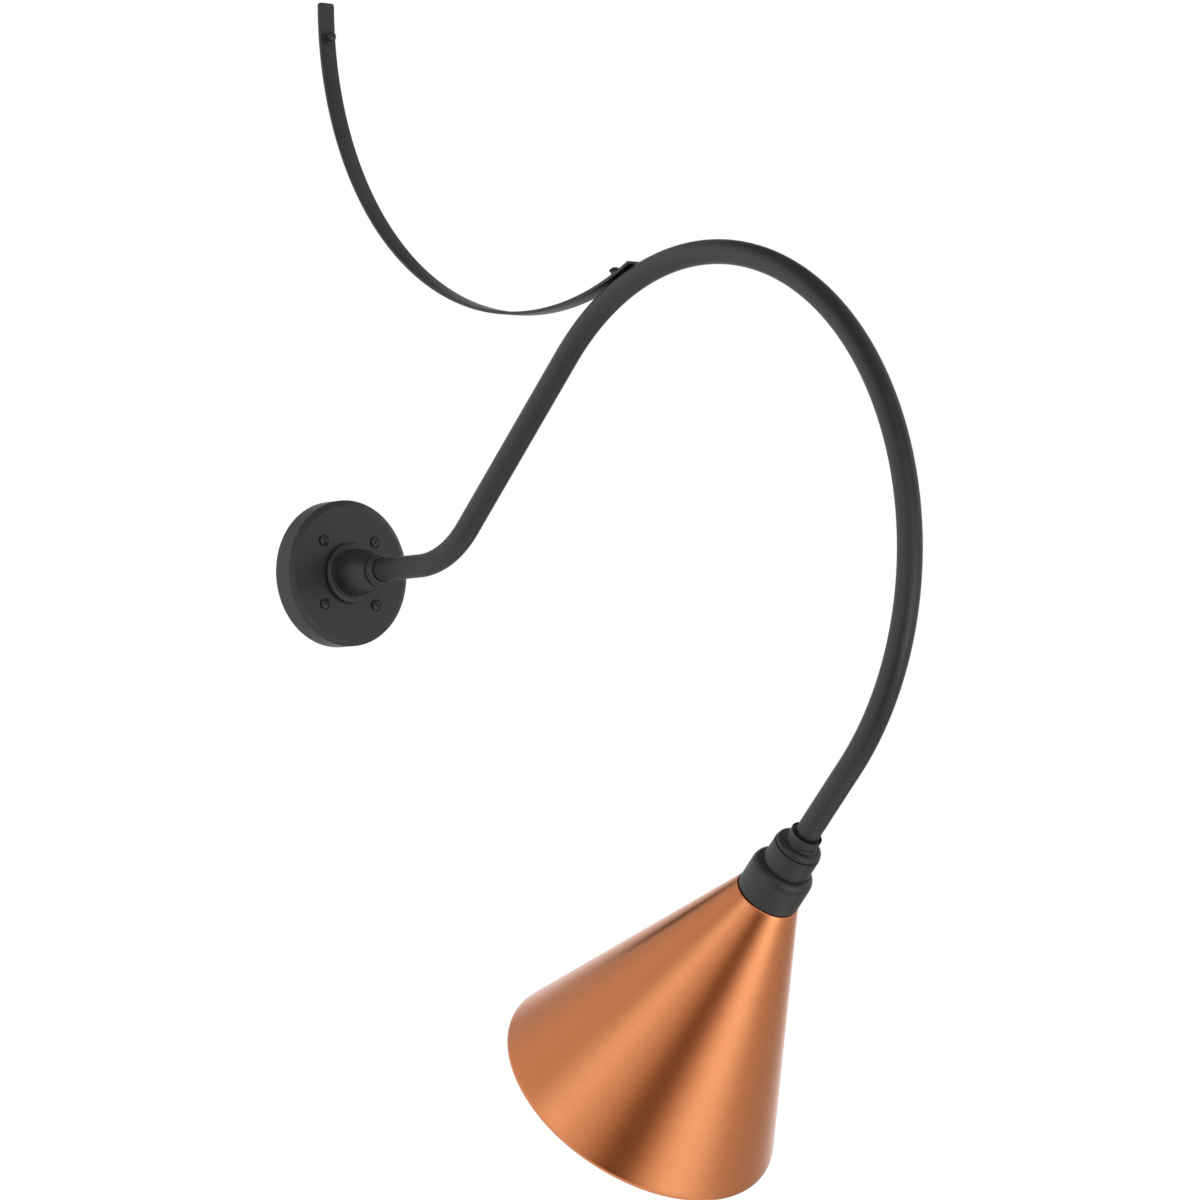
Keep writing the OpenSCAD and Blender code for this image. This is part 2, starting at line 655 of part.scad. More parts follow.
module shade() color(copper) head(shade_at) difference() {
    rotate_extrude($fn = 180) polygon(concat(
        [[shade_hole_d / 2, 0], [fitter_r, 0]],
        arc_points(curl_centre, curl_r, -shade_slope, curl_turn - shade_slope, 12),
        arc_points(curl_centre, curl_r - shade_t, curl_turn - shade_slope, -shade_slope, 12),
        [[fitter_r + shade_t * tan(shade_slope) - shade_t / cos(shade_slope), shade_t],
         [shade_hole_d / 2, shade_t]]
    ));
    at_shade_screws() translate([0, 0, -1])
        cylinder(r = shade_screw_d / 2 + screw_play, h = shade_t + 2);
}

module shade_screws() color(steel) head(shade_at + shade_t) at_shade_screws() difference() {
    union() {
        dome_head(2 * shade_screw_d, 0.8 * shade_screw_d, 0.8);
        shank(shade_screw_d, lug_h + shade_gasket_t + shade_t, 1);
    }
    translate([-shade_screw_d - 1, -0.4, 0.8 * shade_screw_d - 1])
        cube([2 * shade_screw_d + 2, 0.8, 2]);
}

module holder_bridge() color(steel) head(bridge_at) difference() {
    union() {
        cylinder(r = bridge_leg_r, h = bridge_t);
        intersection() {
            translate([-bridge_leg_r, -bridge_w / 2, 0])
                cube([2 * bridge_leg_r, bridge_w, bridge_h]);
            difference() {
                cylinder(r = bridge_leg_r, h = bridge_h);
                translate([0, 0, bridge_t / 2])
                    cylinder(r = bridge_leg_r - bridge_t, h = bridge_h - 1.5 * bridge_t);
                cylinder(r = well_r, h = bridge_h + 1);
            }
        }
    }
    translate([0, 0, -1]) cylinder(r = arm_hole_r, h = bridge_t + 2);
    at_holder_screws() translate([0, 0, bridge_t + 1])
        cylinder(r = holder_screw_d / 2 + screw_play, h = bridge_h);
}

// Runs its children at the two screws between the bridge and the porcelain
module at_holder_screws() for (x = [-1, 1]) translate([x * holder_screw_pcd_r, 0, 0]) children();

module holder_body() color(porcelain) head(holder_at) difference() {
    cylinder(d = holder_d, h = holder_h);
    translate([0, 0, holder_floor]) cylinder(r = well_r, h = holder_h);
    at_holder_screws() translate([0, 0, -1])
        cylinder(r = holder_screw_d / 2 + thread_play, h = holder_floor + 1);
}

module holder_screws() color(steel) head(holder_at - bridge_t) at_holder_screws()
    rotate([180, 0, 0]) {
        dome_head(1.7 * holder_screw_d, 0.6 * holder_screw_d, 0.8);
        shank(holder_screw_d, bridge_t + holder_floor - 1, 1);
    }

module holder_shell() color(brass) head(shell_top) rotate_extrude() polygon([
    [contact_w + 1, 0], [shell_r, 0], [shell_r, holder_end - shell_top - 1],
    [shell_bore_r, holder_end - shell_top - 1], [shell_bore_r, shell_t], [contact_w + 1, shell_t]
]);

module holder_contact() color(brass) head(shell_top) rotate([90, 0, 0])
    translate([0, 0, -contact_w / 2]) linear_extrude(contact_w) polygon([
        [-contact_w * 0.85, 0], [contact_w * 0.85, 0],
        [contact_w * 0.85, shell_in + contact_t], [-contact_w / 2, shell_in + contact_t],
        [-contact_w / 2, shell_in], [contact_w * 0.85 - contact_t, shell_in],
        [contact_w * 0.85 - contact_t, contact_t], [-contact_w * 0.85, contact_t]
    ]);

// Profile of the lamp's envelope, offset inwards: neck, cone and spherical crown
lamp_r = lamp_d / 2;
lamp_neck_at = lamp_tip_h + lamp_cap_h - lamp_neck_in;
lamp_neck_r = lamp_cap_r - shell_t - thread_play;
function envelope(inset) = concat(
    [[lamp_neck_r - inset, lamp_neck_at], [lamp_neck_r - inset, lamp_neck_at + 7],
     [lamp_neck_r + 2 - inset, lamp_neck_at + 21]],
    arc_points([0, lamp_len - lamp_r], lamp_r - inset, -30, 90, 24)
);

module lamp_glass() color(opal) head(lamp_at) rotate_extrude() difference() {
    polygon(concat(envelope(0), [[0, lamp_neck_at]]));
    polygon(concat([[0, lamp_neck_at - 1], [lamp_neck_r - lamp_glass_t, lamp_neck_at - 1]],
                   envelope(lamp_glass_t)));
}

module lamp_cap() color(brass) head(lamp_cap_at) rotate_extrude() polygon([
    [lamp_cap_r - 4, 0], [lamp_cap_r - 2, 0], [lamp_cap_r, 2], [lamp_cap_r, lamp_cap_h],
    [lamp_cap_r - shell_t, lamp_cap_h], [lamp_cap_r - shell_t, 2.5],
    [lamp_cap_r - 2.5, shell_t], [lamp_cap_r - 4, shell_t]
]);

module lamp_insulator() color(foam) head(lamp_at) rotate_extrude() polygon([
    [0, lamp_contact_t], [lamp_contact_d / 2, lamp_contact_t], [lamp_cap_r - 2.4, lamp_tip_h],
    [lamp_cap_r - 4, lamp_tip_h], [lamp_cap_r - 4, lamp_tip_h + shell_t],
    [0, lamp_tip_h + shell_t]
]);

module lamp_contact() color(steel) head(lamp_at) rotate_extrude() polygon([
    [0, 0], [lamp_contact_d * 0.4, 0], [lamp_contact_d / 2, lamp_contact_t / 2],
    [lamp_contact_d / 2, lamp_contact_t], [0, lamp_contact_t]
]);

wall_plate();
wall_gasket();
plate_screws();
hub();
arm_collar();
hub_set_screw();
arm_tube();
arm_locknut();
arm_lock_washer();
arm_bushing();
stay_bar();
stay_insert();
stay_bolt();
stay_bolt_washer();
stay_wall_screw();
stay_wall_washer();
neck_ring();
neck_cap();
socket_housing();
neck_locknut();
shade_fitter();
shade_gasket();
shade();
shade_screws();
holder_bridge();
holder_body();
holder_screws();
holder_shell();
holder_contact();
lamp_glass();
lamp_cap();
lamp_insulator();
lamp_contact();
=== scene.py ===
"""Looks of a gooseneck barn light: black powder coat, a spun copper shade and a screw-in lamp.

Every length is in metres, and an angle among the sizes of a class is in degrees. The wall is
the plane Y = 0, the light stands out along -Y in the plane X = 0, and +Z is up. A place along
the light is given by a Seat: a point of that plane, out from the wall and up, and the heading
that the piece's own axis has there.
"""

from __future__ import annotations

import logging
import math
from dataclasses import dataclass
from enum import Enum
from typing import Callable, Sequence

import bmesh
import bpy
import numpy as np
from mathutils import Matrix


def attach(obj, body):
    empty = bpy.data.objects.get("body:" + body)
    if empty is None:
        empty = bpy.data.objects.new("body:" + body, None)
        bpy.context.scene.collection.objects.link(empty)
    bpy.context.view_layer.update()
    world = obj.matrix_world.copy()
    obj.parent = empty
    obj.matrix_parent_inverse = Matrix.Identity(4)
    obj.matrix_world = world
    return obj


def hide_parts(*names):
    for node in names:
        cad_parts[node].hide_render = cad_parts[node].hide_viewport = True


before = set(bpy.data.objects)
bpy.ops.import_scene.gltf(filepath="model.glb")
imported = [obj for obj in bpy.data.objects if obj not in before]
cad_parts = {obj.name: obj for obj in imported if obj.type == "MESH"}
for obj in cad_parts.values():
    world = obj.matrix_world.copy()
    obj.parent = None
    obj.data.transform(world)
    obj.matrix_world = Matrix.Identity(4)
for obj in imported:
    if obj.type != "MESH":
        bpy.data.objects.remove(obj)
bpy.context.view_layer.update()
LOG = logging.getLogger("barn_light")
MM = 0.001
OVERLAP = 0.2 * MM  # how far one sheet of a piece reaches into the next
WELD = 2e-6  # points closer than this become one
SLIVER = 1e-7  # edges shorter than this go
Corner = tuple[float, float, float]


# Lines of the light


@dataclass(frozen=True)
class Seat:
    """A place in the light's plane with the direction of a piece's own +Z."""

    out: float
    up: float
    heading: float

    def axes(self) -> np.ndarray:
        """Rows are the piece's own X, Y and Z directions in the light's frame."""
        c, s = math.cos(math.radians(self.heading)), math.sin(math.radians(self.heading))
        return np.array([[1.0, 0.0, 0.0], [0.0, s, c], [0.0, -c, s]])

    def place(self, points: np.ndarray) -> np.ndarray:
        """Points of the piece's own frame, moved to the light's frame.

        Args:
            points: any array whose last axis is x, y, z.

        Returns:
            The same array in the light's frame.
        """
        return points @ self.axes() + np.array([0.0, -self.out, self.up])

    def ahead(self, distance: float) -> "Seat":
        """The seat that lies that far along this one's heading.

        Args:
            distance: how far to go.

        Returns:
            The seat there, with the same heading.
        """
        a = math.radians(self.heading)
        out, up = self.out + distance * math.cos(a), self.up + distance * math.sin(a)
        return Seat(out, up, self.heading)


@dataclass(frozen=True)
class Lines:
    """Sizes that several pieces share, the same as in the solids."""

    plate_depth: float = 25 * MM
    hub_h: float = 47 * MM
    arm_r: float = 11.71 * MM
    arm_bore_r: float = 10.11 * MM
    arm_rear: float = 11 * MM
    arm_out: float = 141.3 * MM
    bend_r: float = 113.4 * MM
    bend_rise: float = 44.0
    rise_len: float = 223.5 * MM
    goose_r: float = 284.5 * MM
    goose_turn: float = 180.0
    arm_front: float = 112.8 * MM
    stay_t: float = 3.175 * MM
    stay_leave: float = 576.1 * MM
    seat_gap: float = 0.12 * MM
    bore_play: float = 0.15 * MM
    bend_draw: float = 0.04 * MM
    stay_bolt_back: float = 10 * MM
    stay_screw_drop: float = 25 * MM
    stay_tail: float = 21 * MM
    ring_at: float = 84.5 * MM
    cap_at: float = 89.5 * MM
    cap_end: float = 102.5 * MM
    shade_at: float = 162.3 * MM
    shell_top: float = 127.1 * MM
    holder_end: float = 158.1 * MM
    lamp_at: float = 129.9 * MM
    thread_pitch: float = 3.629 * MM

    @property
    def arm_hole_r(self) -> float:
        """Radius of a hole that the tube passes through."""
        return self.arm_r + self.bore_play

    def wall_seat(self, distance: float = 0.0) -> Seat:
        """A seat straight out from the wall plate's centre."""
        return Seat(distance, 0.0, 0.0)

    def path(self) -> np.ndarray:
        """The arm's centreline, sampled as rows of out, up and heading in radians.

        Two straights, two arcs and a last straight follow each other tangentially. On an arc
        the heading runs evenly from one straight's to the next one's, and a point is the
        arc's centre plus its radius square to the heading.

        Returns:
            An array of shape (n, 3).
        """
        rise, end = math.radians(self.bend_rise), math.radians(self.bend_rise - self.goose_turn)
        centre = np.array([self.arm_out, self.bend_r])
        turn = np.linspace(0.0, rise, 40)
        bend = centre + self.bend_r * np.stack([np.sin(turn), -np.cos(turn)], 1)
        sweep = np.linspace(rise, end, 220)
        goose = self.goose_centre() + self.goose_r * np.stack([-np.sin(sweep), np.cos(sweep)], 1)
        tail = goose[-1] + self.arm_front * np.array([math.cos(end), math.sin(end)])
        first = [[self.arm_rear, 0.0, 0.0], [self.arm_rear + 14 * MM, 0.0, 0.0]]
        parts = [
            np.array(first),
            np.column_stack([bend, turn]),
            np.column_stack([goose, sweep]),
            np.array([[tail[0], tail[1], end]]),
        ]
        return np.concatenate(parts)

    def goose_centre(self) -> np.ndarray:
        """The gooseneck's centre as out and up.

        Returns:
            An array of out and up.
        """
        rise = math.radians(self.bend_rise)
        lift = (
            np.array([self.arm_out, self.bend_r])
            + self.bend_r * np.array([math.sin(rise), -math.cos(rise)])
            + self.rise_len * np.array([math.cos(rise), math.sin(rise)])
        )
        return lift + self.goose_r * np.array([math.sin(rise), -math.cos(rise)])

    def head(self, station: float = 0.0) -> Seat:
        """A seat on the head's axis, that far past the gooseneck's end.

        Args:
            station: distance from the gooseneck's end towards the shade's rim.

        Returns:
            The seat there, its +Z along the head's axis.
        """
        heading = self.bend_rise - self.goose_turn
        a = math.radians(heading)
        c = self.goose_centre()
        return Seat(
            c[0] - self.goose_r * math.sin(a), c[1] + self.goose_r * math.cos(a), heading
        ).ahead(station)

    def stay_arc(self) -> tuple[float, np.ndarray, float]:
        """The stay's middle radius, its centre and the angle where it meets the gooseneck.

        The bar is one arc that leaves the wall upright and touches the gooseneck from
        outside, so the distance between the two centres is the sum of the two radii.

        Returns:
            Radius, centre as out and up, and the angle from straight down in radians.
        """
        c = self.goose_centre()
        a = c[0] - self.stay_t / 2
        h = self.stay_leave - c[1]
        b = self.goose_r + self.arm_r + self.seat_gap + self.stay_t / 2 - 2 * self.bend_draw
        radius = (a * a + h * h - b * b) / (2 * (a + b))
        centre = np.array([self.stay_t / 2 + radius, self.stay_leave])
        return radius, centre, math.atan2(c[0] - centre[0], centre[1] - c[1])

    def on_stay(self, angle: float) -> Seat:
        """A seat on the bar's middle, its +Z away from the bar's centre, angle in radians.

        Args:
            angle: angle round the bar's centre, from straight down.

        Returns:
            The seat there.
        """
        radius, centre, _ = self.stay_arc()
        out = centre[0] + radius * math.sin(angle)
        up = centre[1] - radius * math.cos(angle)
        return Seat(out, up, math.degrees(angle) - 90.0)


LINES = Lines()


# Surfaces


@dataclass(frozen=True)
class Sheet:
    """A grid of points whose columns close on themselves, and whose rows may."""

    points: np.ndarray
    wrap_rows: bool = False

    def quads(self, first: int) -> np.ndarray:
        """Faces of the grid: each point with its right, diagonal and lower neighbours.

        Args:
            first: number of the grid's first vertex in the mesh.

        Returns:
            An array of shape (faces, 4).
        """
        rows, cols = self.points.shape[:2]
        number = first + np.arange(rows * cols).reshape(rows, cols)
        if self.wrap_rows:
            number = np.concatenate([number, number[:1]], 0)
        number = np.concatenate([number, number[:, :1]], 1)
        corners = [number[:-1, :-1], number[:-1, 1:], number[1:, 1:], number[1:, :-1]]
        return np.stack(corners, -1).reshape(-1, 4)


def rounded(corners: Sequence[Corner], steps: int = 6, closed: bool = True) -> np.ndarray:
    """A profile with filleted corners.

    Each corner is a radius, a station and a fillet. A fillet is the arc that touches both
    edges at its radius over the tangent of half the corner's angle.

    Args:
        corners: the profile's corners in order, in metres.
        steps: straight steps in each fillet.
        closed: whether the last corner joins the first.

    Returns:
        An array of shape (n, 2).
    """
    pts = np.array([c[:2] for c in corners])
    out: list[np.ndarray] = []
    count = len(corners)
    for i, (r, s, fillet) in enumerate(corners):
        here = np.array([r, s])
        inner = closed or 0 < i < count - 1
        if fillet <= 0 or not inner:
            out.append(here[None])
            continue
        a, b = pts[i - 1] - here, pts[(i + 1) % count] - here
        a, b = a / np.linalg.norm(a), b / np.linalg.norm(b)
        half = math.acos(float(np.clip(a @ b, -1.0, 1.0))) / 2
        middle = (a + b) / np.linalg.norm(a + b)
        centre = here + middle * fillet / math.sin(half)
        start = here + a * fillet / math.tan(half) - centre
        end = here + b * fillet / math.tan(half) - centre
        t0, t1 = math.atan2(start[1], start[0]), math.atan2(end[1], end[0])
        turn = (t1 - t0 + math.pi) % (2 * math.pi) - math.pi
        t = t0 + turn * np.linspace(0.0, 1.0, steps + 1)
        out.append(centre + fillet * np.stack([np.cos(t), np.sin(t)], 1))
    return np.concatenate(out)


def round_steps(count: int) -> np.ndarray:
    """Angles of even steps once round."""
    return np.linspace(0.0, 2 * math.pi, count, endpoint=False)


def turned(profile: np.ndarray, seat: Seat, columns: int = 96, closed: bool = True) -> Sheet:
    """A surface of revolution: every profile point goes round the seat's axis.

    Args:
        profile: radius and station of each row.
        seat: where station zero lies.
        columns: steps round the axis.
        closed: whether the profile is a loop.

    Returns:
        The sheet in the light's frame.
    """
    angle = round_steps(columns)
    r, s = profile[:, :1], profile[:, 1:]
    grid = np.stack(np.broadcast_arrays(r * np.cos(angle), r * np.sin(angle), s), -1)
    return Sheet(seat.place(grid), wrap_rows=closed)


def threaded(
    seat: Seat,
    start: float,
    length: float,
    pitch: float,
    crest: Callable[[np.ndarray], np.ndarray],
    columns: int = 36,
    per_pitch: int = 10,
    core: float = 0.0,
) -> Sheet:
    """A right-hand screw thread between two stations, closed at both ends.

    The radius at a point is the crest function of the phase, and the phase is the station in
    pitches less the angle in turns, so a crest climbs one pitch in each turn.

    Args:
        seat: where station zero lies.
        start: station of the thread's beginning.
        length: length of the thread.
        pitch: rise of one turn.
        crest: radius from phase, station share and angle, as arrays.
        columns: steps round the axis.
        per_pitch: rows in one pitch.
        core: radius at which the ends close, zero for the axis.

    Returns:
        The sheet in the light's frame.
    """
    rows = max(int(length / pitch * per_pitch), 8)
    share = np.linspace(0.0, 1.0, rows)[:, None]
    s = start + share * length
    angle = round_steps(columns)[None, :]
    phase = s / pitch - angle / (2 * math.pi)
    fade = np.clip(np.minimum(share, 1 - share) * rows / per_pitch, 0.0, 1.0)
    radius = crest(np.stack(np.broadcast_arrays(phase, fade), 0))
    s = np.broadcast_to(s, radius.shape)
    end = np.full((1, radius.shape[1]), core)
    radius = np.concatenate([end, radius, end])
    s = np.concatenate([s[:1], s, s[-1:]])
    grid = np.stack([radius * np.cos(angle), radius * np.sin(angle), s], -1)
    return Sheet(seat.place(grid), wrap_rows=core > 0)


def vee(crest: float, root: float) -> Callable[[np.ndarray], np.ndarray]:
    """A thread of straight flanks between a narrow flat crest and a flat root.

    Args:
        crest: radius of the crest.
        root: radius of the root.

    Returns:
        The crest function that threaded takes.
    """

    def radius(phase_and_fade: np.ndarray) -> np.ndarray:
        """Radius at a phase, drawn in to the root where the thread runs out.

        Args:
            phase_and_fade: the phase, and how much of the thread is left.

        Returns:
            The radius at each point.
        """
        phase, fade = phase_and_fade
        steep, flat = 1.25, 0.1
        wave = np.clip(np.abs((phase % 1.0) * 2 - 1) * steep - flat, 0.0, 1.0)
        return root + (crest - root) * wave * fade

    return radius


def slotted_head(
    seat: Seat, radius: float, height: float, wall: float, slot: float, deep: float, turn: float
) -> Sheet:
    """A domed screw head with a straight slot, closed below.

    The grid's rows are chords of the head's circle and its columns divide each chord evenly.
    The height at a point is the dome's, a spherical cap on a short cylinder, and in the slot
    it is the lower of that and the slot's floor. Rows are doubled at the slot's two walls.

    Args:
        seat: the head stands on this seat's plane, its dome along +Z.
        radius: radius of the head.
        height: height of the dome's top.
        wall: height of the cylinder under the dome.
        slot: width of the slot.
        deep: depth of the slot.
        turn: turn of the slot from the seat's X, in degrees.

    Returns:
        The sheet in the light's frame.
    """
    half = slot / 2 / radius
    outer = np.sin(np.linspace(math.asin(half), math.pi / 2, 14))
    v = np.concatenate([-outer[::-1], [-half], [half], outer])
    cut = np.zeros(len(v), bool)
    cut[len(outer) : len(outer) + 2] = True
    u = np.sin(np.linspace(-math.pi / 2, math.pi / 2, 25))
    y = radius * v[:, None]
    x = np.sqrt(np.maximum(radius**2 - y**2, 0.0)) * u[None, :]
    rise = height - wall
    ball = (radius**2 + rise**2) / (2 * rise)
    r2 = np.minimum(x**2 + y**2, radius**2)
    dome = np.sqrt(ball**2 - r2) - (ball - height)
    z = np.where(cut[:, None], np.minimum(dome, height - deep), dome)
    y = np.broadcast_to(y, x.shape)
    x = np.concatenate([x[:, :1], x, x[:, -1:]], 1)
    y = np.concatenate([y[:, :1], y, y[:, -1:]], 1)
    z = np.concatenate([np.zeros((len(v), 1)), z, np.zeros((len(v), 1))], 1)
    a = math.radians(turn)
    grid = np.stack([x * math.cos(a) - y * math.sin(a), x * math.sin(a) + y * math.cos(a), z], -1)
    return Sheet(seat.place(grid))


def carried(path: np.ndarray, section: np.ndarray) -> np.ndarray:
    """Sections set square to a path in the light's plane.

    Args:
        path: rows of out, up and heading in radians.
        section: an array (rows, columns, 2) or (columns, 2) of X and the offset square to
            the path, above it where the heading is level.

    Returns:
        An array (rows, columns, 3) in the light's frame.
    """
    section = np.broadcast_to(section, (len(path), *section.shape[-2:]))
    out, up, heading = path[:, :1], path[:, 1:2], path[:, 2:]
    x, n = section[..., 0], section[..., 1]
    return np.stack([x, -(out - n * np.sin(heading)), up + n * np.cos(heading)], -1)


# Finishes


class Slot(Enum):
    """Material slots of the record."""

    POWDER = "powder_coat"
    COPPER = "spun_copper"
    STEEL = "zinc_steel"
    BRASS = "shell_brass"
    PORCELAIN = "glazed_porcelain"
    FOAM = "foam_rubber"
    BLACK_GLASS = "black_insulator"
    NYLON = "nylon"
    OPAL = "opal_glass"


class Grain(Enum):
    """Which way a finish's fine marks run."""

    EVEN = "even"
    ROUND_HEAD = "round the head's axis"


def new_group(
    name: str, inputs: dict[str, tuple[str, float]], outputs: dict[str, str]
) -> tuple[bpy.types.NodeTree, bpy.types.Node, bpy.types.Node]:
    """An empty shader node group with its sockets.

    Args:
        name: name of the group.
        inputs: socket name to socket type and default value.
        outputs: socket name to socket type.

    Returns:
        The group and its input and output nodes.
    """
    group = bpy.data.node_groups.new(name, "ShaderNodeTree")
    for label, (kind, value) in inputs.items():
        socket = group.interface.new_socket(name=label, in_out="INPUT", socket_type=kind)
        if kind == "NodeSocketFloat":
            socket.default_value = value
    for label, kind in outputs.items():
        group.interface.new_socket(name=label, in_out="OUTPUT", socket_type=kind)
    return group, group.nodes.new("NodeGroupInput"), group.nodes.new("NodeGroupOutput")


def add_node(
    tree: bpy.types.NodeTree, kind: str, inputs: dict[int | str, object], **settings: object
) -> bpy.types.Node:
    """Adds a shader node and fills its inputs.

    Args:
        tree: the node tree.
        kind: the node's type without the word ShaderNode.
        inputs: name or number of an input to its value, or to the socket linked to it.
        settings: properties, set before the inputs.

    Returns:
        The new node.
    """
    node = tree.nodes.new(f"ShaderNode{kind}")
    for label, value in settings.items():
        setattr(node, label, value)
    for key, value in inputs.items():
        if isinstance(value, bpy.types.NodeSocket):
            tree.links.new(value, node.inputs[key])
        else:
            node.inputs[key].default_value = value
    return node


def math_node(
    tree: bpy.types.NodeTree,
    operation: str,
    a: bpy.types.NodeSocket | float,
    b: bpy.types.NodeSocket | float,
) -> bpy.types.NodeSocket:
    """Adds a Math node with two values or sockets and returns its result."""
    return add_node(tree, "Math", {0: a, 1: b}, operation=operation).outputs[0]


def grain_group() -> bpy.types.NodeTree:
    """Fine and broad noise on the given coordinates, shared by all finishes.

    Fine is noise at the given scale, Broad the same at a fourteenth of it, and Pits is Fine
    cut to its deepest hollows.

    Returns:
        The group, with the outputs Fine, Broad and Pits.
    """
    group, g_in, g_out = new_group(
        "surface_grain",
        {"Vector": ("NodeSocketVector", 0.0), "Scale": ("NodeSocketFloat", 1000.0)},
        {"Fine": "NodeSocketFloat", "Broad": "NodeSocketFloat", "Pits": "NodeSocketFloat"},
    )
    vector, scale = g_in.outputs["Vector"], g_in.outputs["Scale"]
    wide = math_node(group, "DIVIDE", scale, 14.0)
    fine = add_node(group, "TexNoise", {"Detail": 3.0, "Vector": vector, "Scale": scale})
    broad = add_node(group, "TexNoise", {"Detail": 2.0, "Vector": vector, "Scale": wide})
    hollow = {"From Min": 0.30, "From Max": 0.42, "Value": fine.outputs[0]}
    pits = add_node(group, "MapRange", hollow)
    for label, node in (("Fine", fine), ("Broad", broad), ("Pits", pits)):
        group.links.new(node.outputs[0], g_out.inputs[label])
    return group


def lathe_group() -> bpy.types.NodeTree:
    """Coordinates for marks left by a lathe, which run round the head's axis.

    The vector put out has its distance along that axis multiplied by Closeness and the other
    two directions left nearly still, so noise on it comes out as fine rings.

    Returns:
        The group, with the output Rings.
    """
    group, g_in, g_out = new_group(
        "lathe_marks",
        {"Vector": ("NodeSocketVector", 0.0), "Closeness": ("NodeSocketFloat", 60.0)},
        {"Rings": "NodeSocketVector"},
    )
    vector, axis = g_in.outputs["Vector"], tuple(LINES.head().axes()[2])
    dot = add_node(group, "VectorMath", {0: vector, 1: axis}, operation="DOT_PRODUCT")
    along = math_node(group, "MULTIPLY", dot.outputs["Value"], g_in.outputs["Closeness"])
    step = add_node(group, "VectorMath", {0: axis, "Scale": along}, operation="SCALE")
    drawn = add_node(group, "VectorMath", {0: vector, 1: step.outputs[0]}, operation="ADD")
    group.links.new(drawn.outputs[0], g_out.inputs["Rings"])
    return group


@dataclass(frozen=True)
class Finish:
    """A finish of the light: its two close colours, its gloss and its grain."""

    name: str
    colour: tuple[float, float, float]
    shade: tuple[float, float, float]
    rough: tuple[float, float]
    metallic: float = 0.0
    specular: float = 0.5
    grain: Grain = Grain.EVEN
    scale: float = 1500.0
    bump: float = 0.00003
    pitted: bool = False
    coat: float = 0.0
    coat_rough: float = 0.03
    stretch: float = 60.0
    brushed: float = 0.0

    def build(self, groups: dict[str, bpy.types.NodeTree]) -> bpy.types.Material:
        """The material: broad noise mixes the two colours, fine noise the gloss and bump.

        Args:
            groups: the shared node groups by name.

        Returns:
            The new material.
        """
        mat = bpy.data.materials.new(self.name)
        mat.use_nodes = True
        tree = mat.node_tree
        tree.nodes.clear()
        coords = tree.nodes.new("ShaderNodeTexCoord").outputs["Object"]
        if self.grain is Grain.ROUND_HEAD:
            rings = {"Closeness": self.stretch, "Vector": coords}
            coords = add_node(tree, "Group", rings, node_tree=groups["lathe"]).outputs["Rings"]
        marks = {"Scale": self.scale, "Vector": coords}
        grain = add_node(tree, "Group", marks, node_tree=groups["grain"])
        colours = {
            "A": (*self.shade, 1.0),
            "B": (*self.colour, 1.0),
            "Factor": grain.outputs["Broad"],
        }
        mix = add_node(tree, "Mix", colours, data_type="RGBA")
        spread = {
            "From Min": 0.3,
            "From Max": 0.7,
            "To Min": self.rough[0],
            "To Max": self.rough[1],
            "Value": grain.outputs["Fine"],
        }
        gloss = add_node(tree, "MapRange", spread)
        relief = {
            "Strength": 1.0,
            "Distance": self.bump,
            "Height": grain.outputs["Pits" if self.pitted else "Fine"],
        }
        look = {
            "Base Color": mix.outputs["Result"],
            "Roughness": gloss.outputs[0],
            "Normal": add_node(tree, "Bump", relief).outputs[0],
            "Metallic": self.metallic,
            "Specular IOR Level": self.specular,
            "Coat Weight": self.coat,
            "Coat Roughness": self.coat_rough,
        }
        if self.brushed > 0:
            axis = dict(enumerate(LINES.head().axes()[2]))
            look["Tangent"] = add_node(tree, "CombineXYZ", axis).outputs[0]
            look["Anisotropic"] = self.brushed
        bsdf = add_node(tree, "BsdfPrincipled", look)
        add_node(tree, "OutputMaterial", {"Surface": bsdf.outputs[0]})
        return mat


